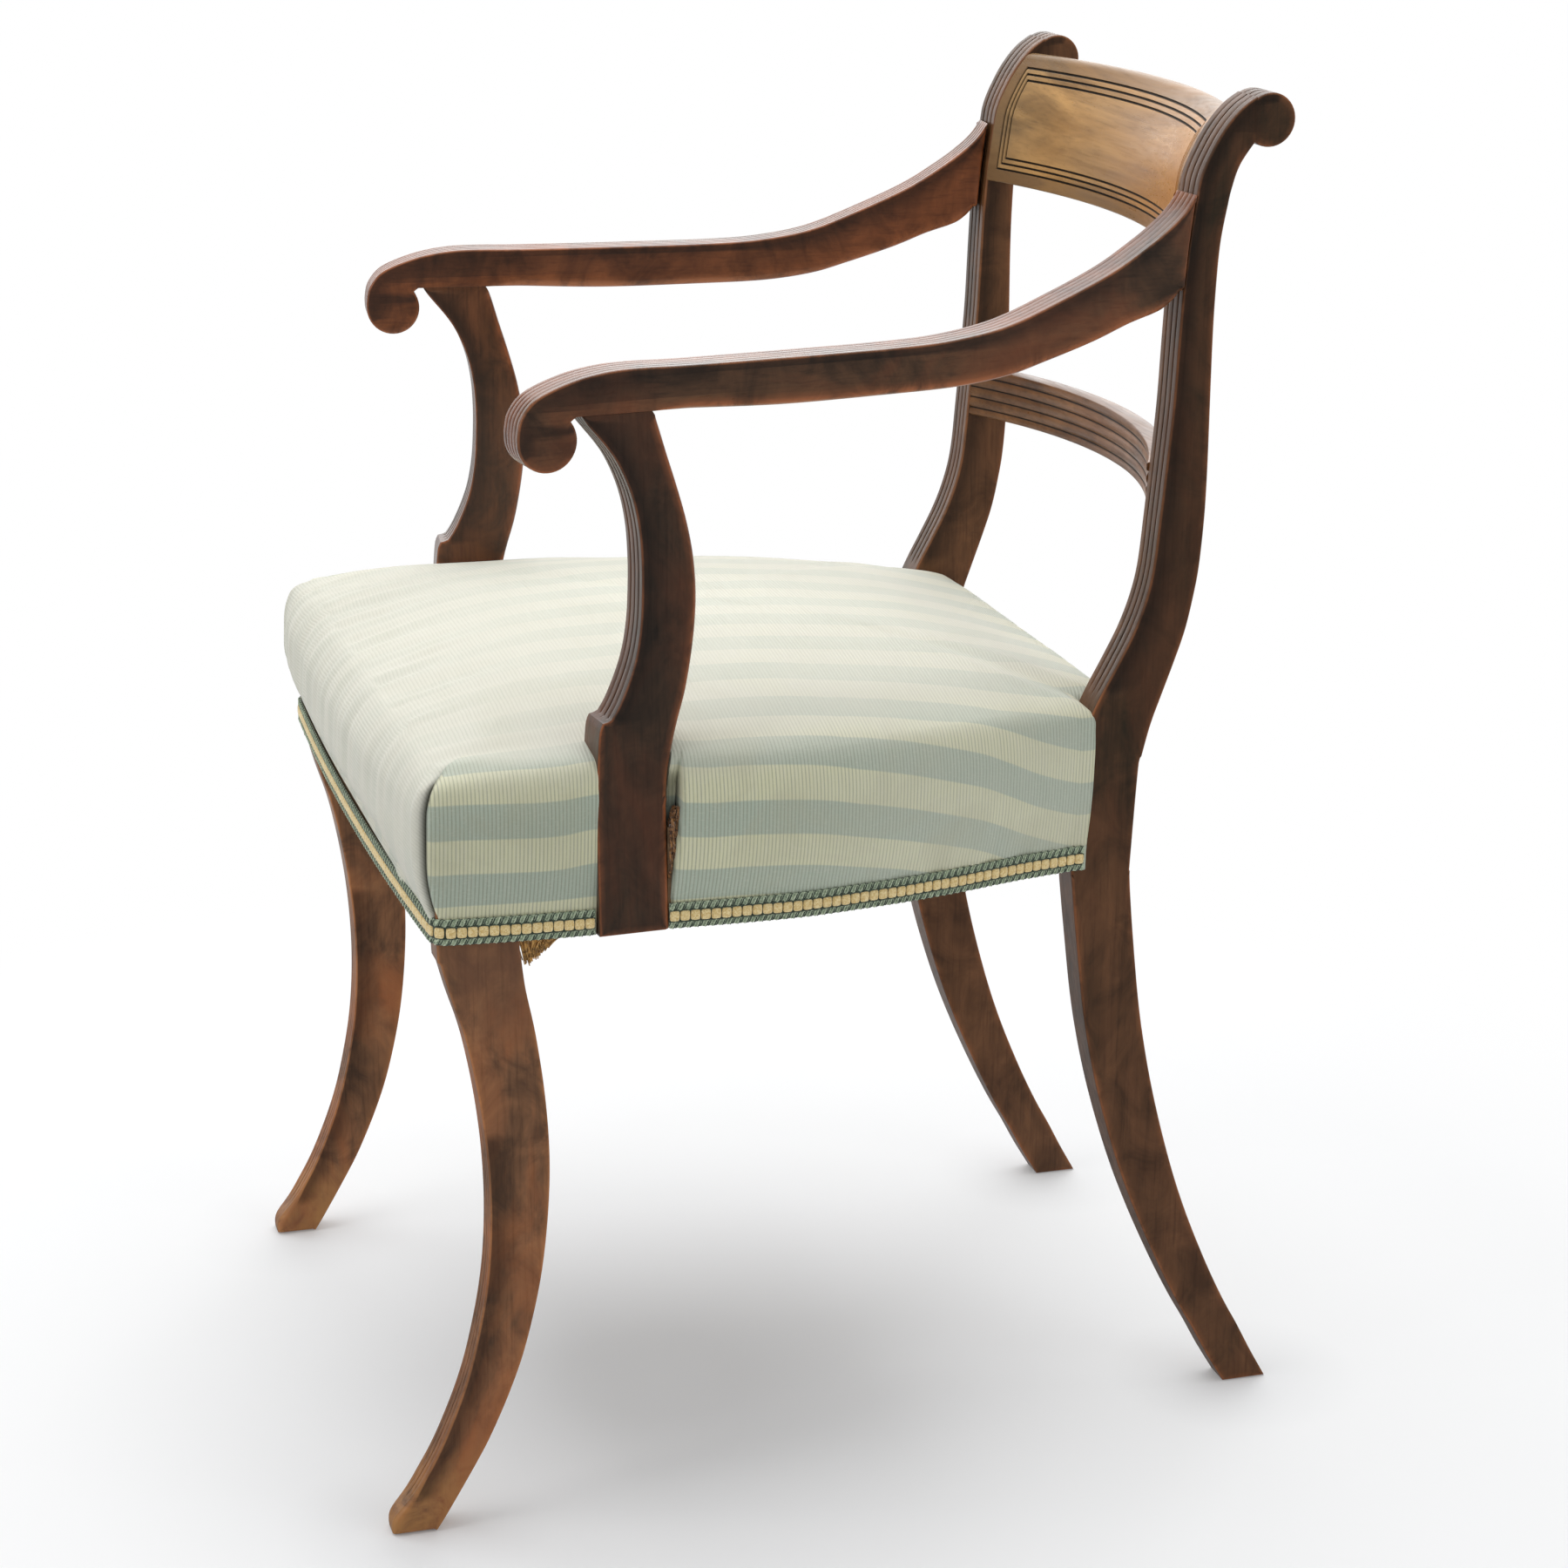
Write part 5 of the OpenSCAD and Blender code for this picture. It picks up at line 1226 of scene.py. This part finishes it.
def painted_sheen_share(moved, plan, heights, side, front):
    """Painted sheen, as light glancing off the cloth: the top, the front and the rear of the sides
    are painted paler with fainter stripes; 0 is none, 1 full, and at 2 no stripe is left.
    """
    painted_sheen = step_up(heights, 84, 124)
    painted_sheen = np.maximum(painted_sheen, 0.3 * (side * step_up(plan[:, 1], 0.4 * SEAT_D, 0.75 * SEAT_D)))
    over = step_up(SEAT_MIDDLE[1] * 0.7 - moved[:, :, 1], 0, 90)
    return np.where(front[None], 0.85 + step_up(heights, 10, 70) * (0.15 + 0.85 * over),
                    painted_sheen + 0.75 * over * (painted_sheen >= 0.5) * step_up(heights, 100, 116))
def cover():
    plan, kinds = both_halves(seat_plan(4.0))
    rows = finer(seat_rows(COVER_T, LOW_ROWS), 5)
    rings = seat_rings(plan, rows, COVER_T)
    levels, count = rings.shape[:2]
    heights = rings[:, :, 2]
    side, front = (np.array([kind == panel for kind in kinds]) for panel in ("side", "front"))
    push, shade_and_dirt = cloth_push(plan, rows, heights, side, front)
    mitres = np.column_stack([loop_normals(plan), np.zeros(count)])
    moved = rings + push[:, :, None] * mitres[None]
    shape_hem(moved, plan, heights, side, front)
    add_lumps(moved, rows)
    tip = moved[-1].mean(0)
    last = levels * count
    faces = grid_faces(levels, count, closed_columns=True) + fan(last - count, count, last)
    # Painted sheen on the top, the front and the rear of the sides
    painted_sheen = painted_sheen_share(moved, plan, heights, side, front)
    made = add_object("seat_cover_fabric", seat_places(np.vstack([moved.reshape(-1, 3), tip])),
                      faces, [FABRIC], ["seat_cover"], 60.0,
                      {"shade_and_dirt": np.append(shade_and_dirt.ravel(), 0.0), "painted_sheen": np.append(painted_sheen.ravel(), 1.0)})
    # Where each ring leaves the top and turns down
    edge_level = next(i for i, row in enumerate(rows) if row[2] < 0.95)
    values = weave_places(moved, plan, kinds, edge_level)
    mesh = made.data
    weave = np.zeros((len(mesh.loops), 3))
    for polygon in mesh.polygons:
        columns = {v % count for v in polygon.vertices if v < last}
        first = max(columns) if max(columns) - min(columns) > count / 2 else min(columns)
        around = {kinds[first], kinds[(first + 1) % count]}
        panel = "side" if around <= {"side", "lap"} else "front"
        for corner in polygon.loop_indices:
            v = mesh.loops[corner].vertex_index
            weave[corner, :2] = tip[:2] if v == last else values[panel][v]
    mesh.attributes.new("weave", "FLOAT_VECTOR", "CORNER").data.foreach_set(
        "vector", weave.ravel())
    shell = made.modifiers.new("cloth", "SOLIDIFY")
    shell.thickness = CLOTH_T * MM
    shell.offset = -1.0


cover()


def stuffing():
    plan, kinds = both_halves(seat_plan(6.0, 4.0, 4.0))
    rows = finer(seat_rows(-1.5, []), 2)
    rings = seat_rings(plan, rows, -2.0)
    pull = drawn_in(plan, rows)
    under = under_support(plan, 7.0, TEAR_GAP)[None]
    pull = np.where(under & (rings[:, :, 2] < 118), UNDER_SUPPORT_D + 5.0, pull)
    rings[:, :, 0] -= np.sign(rings[:, :, 0]) * pull
    # It lies on the hessian
    rings[:, :, 2] = np.maximum(rings[:, :, 2], PAD_Z + 0.6)
    levels, count = rings.shape[:2]
    last = levels * count
    points = np.vstack([rings.reshape(-1, 3), rings[-1].mean(0), rings[0].mean(0)])
    faces = grid_faces(levels, count, closed_columns=True) + fan(last - count, count, last)
    faces += [(b, a, tip) for a, b, tip in fan(0, count, last + 1)]
    made = add_object("seat_stuffing_hair", seat_places(points), faces, [HAIR], ["stuffing"],
                      60.0)


stuffing()


def rail_inner(y):
    """Half the width between the side rails at a place back."""
    start = SEAT_FRONT_HALF - RAIL_T
    return start + (POST_IN - start) * (y - LEG_D) / (SEAT_D - LEG_D)


LAND = RAIL_T / 2
STRIP_T = 1.2
SHEET_T = 0.6
TORN_COUNT = 120
TUFT_COUNT = 420


def strip_of_web(start, end, axis, level):
    """A strip from start to end, wide along an axis, which rises and falls as level says."""
    start, end = np.array(start, float), np.array(end, float)
    count = int(np.linalg.norm(end - start) / 4)
    points = []
    for i in range(count + 1):
        place = start + i / count * (end - start)
        z = level(place)
        for w, t in ((-1, 0.5), (-0.97, 0), (-1, -0.5), (1, -0.5), (0.97, 0), (1, 0.5)):
            point = [*place, z + t * STRIP_T]
            point[axis] += w * WEB_W / 2
            points.append(point)
    faces = grid_faces(count + 1, 6, closed_columns=True)
    return points, faces + [tuple(range(6)), tuple(range(count * 6, count * 6 + 6))]


def webbing():
    first = LEG_D + WEB_W / 2
    edge = POST_IN - WEB_W / 2 - LAND
    long_x = np.linspace(-edge, edge, WEB_COUNT)
    cross_y = np.linspace(first, BACK_RAIL_Y - WEB_W / 2 - LAND, WEB_COUNT)

    def level(at, own, others, flip):
        """Height of a strip, which goes over and under those that cross it."""
        total = sum(bell(at, other, WEB_W * 0.55) * (-1) ** (own + j + flip)
                    for j, other in enumerate(others))
        return RAIL_H + WEB_T + WEB_T / 2 * max(-1.0, min(1.0, 1.3 * total))

    lengthwise, crosswise = Heap(), Heap()
    for k, x in enumerate(long_x):
        lengthwise.take(strip_of_web((x, LAND), (x, BACK_RAIL_Y + LAND), 0,
                                     lambda p: level(p[1], k, cross_y, 0)))
    for k, y in enumerate(cross_y):
        half = rail_inner(y + WEB_W / 2) + LAND / 2
        crosswise.take(strip_of_web((-half, y), (half, y), 1,
                                    lambda p: level(p[0], k, long_x, 1)))
    for name, strips in (("lengthwise", lengthwise), ("crosswise", crosswise)):
        add_object("webbing_" + name + "_jute", seat_places(strips.points), strips.faces,
                   [WEBBING], ["webbing_" + name])


webbing()


def hessian():
    half = [(rail_inner(RAIL_T) + LAND / 2, LAND), (rail_inner(SEAT_D) - LAND / 2, SEAT_D),
            (POST_IN - LAND / 2, BACK_RAIL_Y + LAND)]
    ys = np.linspace(half[0][1], half[2][1], 60)
    xs = np.interp(ys, [p[1] for p in half], [p[0] for p in half])
    points = []
    z = RAIL_H + 2 * WEB_T
    for y, x in zip(ys, xs):
        for share in np.linspace(-1, 1, 61):
            lift = 0.25 * noise.noise(Vector((share * x / 30, y / 30, 0.0)))
            points.append((share * x, y, z + SHEET_T + lift))
    faces = grid_faces(60, 61)
    made = add_object("hessian_sheet", seat_places(points), faces, [HESSIAN], ["hessian"])
    shell = made.modifiers.new("cloth", "SOLIDIFY")
    shell.thickness = SHEET_T * MM


hessian()


def torn_edges():
    """Ragged golden edges of hessian in the tears behind the arm supports."""
    fibres = Heap()
    for sign in (1, -1):
        for k in range(TORN_COUNT):
            z = random.uniform(34, 68)
            y = SUPPORT_END + 0.7 + random.uniform(0, TEAR_GAP - 0.8)
            x = side_x(y) + random.uniform(-5.5, 1.0)
            centres = [(sign * (x + 0.8 * math.sin(5 * t + k)), y + 0.5 * math.cos(4 * t + k),
                        z + 14 * (t - 0.5)) for t in np.linspace(0, 1, 6)]
            fibres.take(tube(centres, 0.75, 4))
    add_object("hessian_torn_edges", seat_places(fibres.points), fibres.faces, [TORN_FIBRE],
               ["hessian"])


torn_edges()


# Braid: a band with raised beads, between pairs of cords twisted round each other
BEAD_PITCH = 6.3
BEAD_L = 6.0
BEAD_H = 6.6
BEAD_Z = 7.9
BEAD_PROUD = 1.5
BAND_T = 0.9
BAND_INSET = 0.6
CORD_PROUD = 1.15
BEAD_SIDES = 12
BEAD_POWER = 0.45
TWIST_PITCH = 5.0
CORD_R = 0.42
GOLD, GREEN, DARK = range(3)


def box_bead():
    """A square bead with rounded edges, as points along, up and out."""
    shape = []
    for k in range(BEAD_SIDES):
        a = 2 * math.pi * k / BEAD_SIDES
        shape.append([math.copysign(abs(v) ** BEAD_POWER, v) for v in (math.cos(a), math.sin(a))])
    rings = [(0.0, 1.0), (0.55, 0.98), (0.85, 0.86), (1.0, 0.55)]
    points = [(c * BEAD_L / 2 * size, s * BEAD_H / 2 * size, out * BEAD_PROUD)
              for out, size in rings for c, s in shape]
    points.append((0.0, 0.0, BEAD_PROUD * 1.06))
    last = len(points) - 1
    faces = grid_faces(len(rings), BEAD_SIDES, closed_columns=True)
    faces += fan(last - BEAD_SIDES, BEAD_SIDES, last)
    return points, faces + [tuple(reversed(range(BEAD_SIDES)))]


class Path:
    """An open path in the plan of the seat, with its outward direction at each place."""

    def __init__(self, plan):
        self.plan = np.asarray(plan, float)
        self.run = run_along(self.plan)
        self.length = self.run[-1]

    def at(self, s):
        return np.array([np.interp(s, self.run, self.plan[:, k]) for k in range(2)])

    def frame_at(self, s):
        ahead = self.at(min(s + 1.5, self.length)) - self.at(max(s - 1.5, 0))
        ahead = ahead / np.linalg.norm(ahead)
        return self.at(s), ahead, np.array([ahead[1], -ahead[0]])

    def beside(self, s, outward, z):
        """A point outward from the path, at a height."""
        place, ahead, out = self.frame_at(s)
        return (*(place + outward * out), z)


def strip_along(path, low, high, inner, outer, count):
    """A band along a path, between two heights and two distances outward."""
    points = []
    for s in np.linspace(0, path.length, count + 1):
        points += [path.beside(s, inner, low), path.beside(s, outer, low),
                   path.beside(s, outer, high), path.beside(s, inner, high)]
    faces = grid_faces(count + 1, 4, closed_columns=True)
    return points, faces + [(3, 2, 1, 0), tuple(range(count * 4, count * 4 + 4))]


def braid(name, node, plan):
    path = Path(plan)
    heap = Heap()
    count = max(2, int(path.length / 2.5))
    low, high = BEAD_Z - BEAD_H / 2, BEAD_Z + BEAD_H / 2
    # The band, and a dark strip behind the beads, put there as painted shade in the gaps between
    # them
    heap.take(strip_along(path, BAND_INSET, BRAID_H - BAND_INSET, 0.0, BAND_T, count), GREEN)
    heap.take(strip_along(path, low, high, 0.5, 1.0, count), DARK)
    bead_points, bead_faces = box_bead()
    beads = int(path.length / BEAD_PITCH)
    for k in range(beads):
        place, ahead, out = path.frame_at((k + 0.5) * path.length / beads)
        wobble = 0.12 * math.sin(7.3 * k)
        heap.take(([(*(place + along * ahead + (0.7 + proud) * out), BEAD_Z + up + wobble)
                    for along, up, proud in bead_points], bead_faces), GOLD)
    # Over and under the beads, a pale cord with two thinner dark ones, and a straight dark one
    for foot, head, edge in ((high, BRAID_H, high + 0.2), (0.0, low, low - 0.2)):
        middle, swing = (foot + head) / 2, (head - foot) / 2 - CORD_R
        for phase, kind, size, reach in ((0.0, DARK, 0.8, swing), (math.pi, GREEN, 1.15, swing),
                                         (0.5 * math.pi, DARK, 0.7, 1.2 * swing)):
            centres = []
            for s in np.arange(0, path.length, 0.8):
                turn = 2 * math.pi * s / TWIST_PITCH + phase
                proud = CORD_PROUD + 0.4 * math.cos(turn) - (0.3 if kind == DARK else 0.0)
                centres.append(path.beside(s, proud, middle + reach * math.sin(turn)))
            heap.take(tube(centres, CORD_R * size, 5), kind)
        straight = [path.beside(s, 1.2, edge) for s in np.arange(0, path.length, 2.0)]
        heap.take(tube(straight, 1.2 * CORD_R, 5), DARK)
    add_object(name, seat_places(heap.points), heap.faces, [BRAID_GOLD, BRAID_GREEN, BRAID_DARK],
               [node], 50.0, None, heap.kinds)


def mirrored(line):
    """A line of the right half taken over to the left, in reverse."""
    return [(-x, y) for x, y in reversed(line) if x > 0.01]


def braid_pieces():
    out = COVER_T + 0.1
    plan, kinds = both_halves(seat_plan(4.0))
    plan = plan + out * loop_normals(plan)
    right = [tuple(p) for p in plan[:len(plan) // 2 + 1]]
    front_end = SUPPORT_SET - 0.6
    side_start = front_end + SUPPORT_D + 1.2
    front = [p for p in right if p[1] < front_end]
    braid("braid_front_beaded", "braid_front", mirrored(front) + front)
    side = [(side_x(side_start) + out, side_start)] + [
        (x, y) for x, y in right if side_start < y < SEAT_D + POST_LAP - 1 and x > SEAT_BACK_HALF]
    braid("left_side_braid_beaded", "left_side_braid", side)
    braid("right_side_braid_beaded", "right_side_braid", mirrored(side))
    braid("back_braid_beaded", "back_braid", [
        (x, SEAT_END_Y + out) for x in np.linspace(SEAT_BACK_X, -SEAT_BACK_X, 60)])


braid_pieces()


def tuft():
    """Loose golden fibres that hang behind the near front leg and run together at the tip."""
    fibres = Heap()
    x = rail_inner(TUFT_SET) + LAND
    for _ in range(TUFT_COUNT):
        share = random.random()
        start = np.array([x + random.uniform(-3.5, 3.5), 51 + 39 * share, 0.5])
        end = np.array([x + random.uniform(-3.0, 3.0),
                        57 + 13 * share + random.uniform(-2.0, 2.0),
                        -22 + 11 * share + random.uniform(-1.0, 5.0)])
        belly = np.array([random.uniform(-1.5, 1.5), random.uniform(-2, 2) - 2 * share,
                          random.uniform(-1, 2)])
        centres = [start + t * (end - start) + 2 * t * (1 - t) * belly
                   for t in np.linspace(0, 1, 7)]
        fibres.take(tube(centres, 0.6, 4, taper=0.4))
    add_object("hanging_tuft_fibres", seat_places(fibres.points), fibres.faces, [FIBRE],
               ["hanging_tuft"])


tuft()

# Finishes of the model's own pieces
for names, material in (
        (("front_seat_rail", "back_seat_rail", "left_front_block", "right_front_block",
          "left_back_block", "right_back_block", "crest_dowels"), BEECH_ACROSS),
        (("left_seat_rail", "right_seat_rail", "arm_dowels"), BEECH_ALONG),
        (("corner_block_screws", "arm_support_screws"), STEEL)):
    for name in names:
        for slot in frame["nodes"][name].material_slots:
            slot.material = material


# Stage and lights
SHADOW_PLACE = (0.07, -0.09, 0.0)
BACKDROP_WAY = (-0.96, 0.28, 0.0)
FEET = ((0.2247, -0.2835, 0.0), (0.175, 0.283, 0.0))


def stage():
    """A pale floor that keeps the shadow near the chair and goes to white far from it."""
    bpy.ops.mesh.primitive_plane_add(size=40, location=(0, 0, -0.0005))
    floor = bpy.context.object
    floor.name = "floor"
    s = Shading("floor_pale")
    s.finish({"Base Color": colour(0.83, 0.84, 0.855), "Roughness": 0.9,
              "Specular IOR Level": 0.0})
    path = s.node("ShaderNodeLightPath").outputs
    place = s.where()
    away = s.vector_maths("DISTANCE", place, SHADOW_PLACE)
    far = s.maths("MAXIMUM", s.ramp(away, 0.06, 0.4, 0.0, 0.54), s.ramp(away, 0.3, 1.0))
    # The floor's own shadow shows round each foot
    parts = s.parts(place)
    folded = s.node("ShaderNodeCombineXYZ", {
        "X": s.maths("ABSOLUTE", parts["X"]), "Y": parts["Y"]}).outputs["Vector"]
    for foot in FEET:
        off = s.vector_maths("DISTANCE", folded, foot)
        far = s.times(far, s.ramp(off, 0.012, 0.085, 0.35, 1.0))
    white = s.node("ShaderNodeEmission", {"Color": WHITE, "Strength": 1.0})
    mixed = s.node("ShaderNodeMixShader", {
        0: s.times(far, path["Is Camera Ray"]),
        1: s.shader.outputs["BSDF"], 2: white.outputs["Emission"]})
    # Reflections show it dim in front of the chair and bright behind it
    behind = s.vector_maths("DOT_PRODUCT", place, BACKDROP_WAY)
    dim = s.node("ShaderNodeEmission", {"Strength": s.ramp(behind, 0.0, 1.2, 0.24, 1.0)})
    mixed = s.node("ShaderNodeMixShader", {
        0: path["Is Glossy Ray"], 1: mixed.outputs["Shader"], 2: dim.outputs["Emission"]})
    set_inputs(s.tree.nodes["Material Output"], {"Surface": mixed.outputs["Shader"]})
    floor.data.materials.append(s.material)


stage()


def area_light(name, place, target, size, power, glossy=True):
    data = bpy.data.lights.new(name, "AREA")
    data.shape = "RECTANGLE"
    data.size, data.size_y = size
    data.energy = power
    light = bpy.data.objects.new(name, data)
    light.visible_camera = False
    light.visible_glossy = glossy
    bpy.context.scene.collection.objects.link(light)
    way = Vector(target) - Vector(place)
    light.matrix_world = Matrix.Translation(place) @ way.to_track_quat("-Z", "Y").to_matrix(
    ).to_4x4()


area_light("top", (-0.5, 0.0, 2.45), (0, 0, 0.2), (2.1, 2.1), 42)
area_light("key", (0.3, -2.7, 1.5), (0, 0, 0.45), (1.6, 1.6), 20)
area_light("back", (-2.5, 0.75, 1.3), (0, 0, 0.6), (2.4, 1.4), 30, False)
area_light("fill", (2.2, 2.1, 1.1), (0, 0, 0.5), (1.6, 1.6), 15, False)


WORLD_LOW = 0.22
WORLD_HIGH = 0.46
BACKDROP_HIGH = 2.3


def world():
    """White to the camera; for the light itself, bright above and dim at the horizon."""
    made = bpy.data.worlds.new("studio")
    bpy.context.scene.world = made
    made.use_nodes = True
    s = Nodes(made.node_tree)
    path = s.node("ShaderNodeLightPath").outputs
    way = s.node("ShaderNodeTexCoord").outputs["Generated"]
    height = s.ramp(s.parts(way)["Z"], 0.0, 0.8, WORLD_LOW, WORLD_HIGH)
    behind = s.vector_maths("DOT_PRODUCT", way, BACKDROP_WAY)
    backdrop = s.ramp(behind, 0.5, 0.95, WORLD_LOW, BACKDROP_HIGH)
    lit = s.ramp(path["Is Glossy Ray"], 0.0, 1.0, height, backdrop)
    set_inputs(made.node_tree.nodes["Background"], {
        "Color": WHITE, "Strength": s.ramp(path["Is Camera Ray"], 0.0, 1.0, lit, 1.0)})


world()
bpy.context.scene.view_settings.view_transform = "Standard"
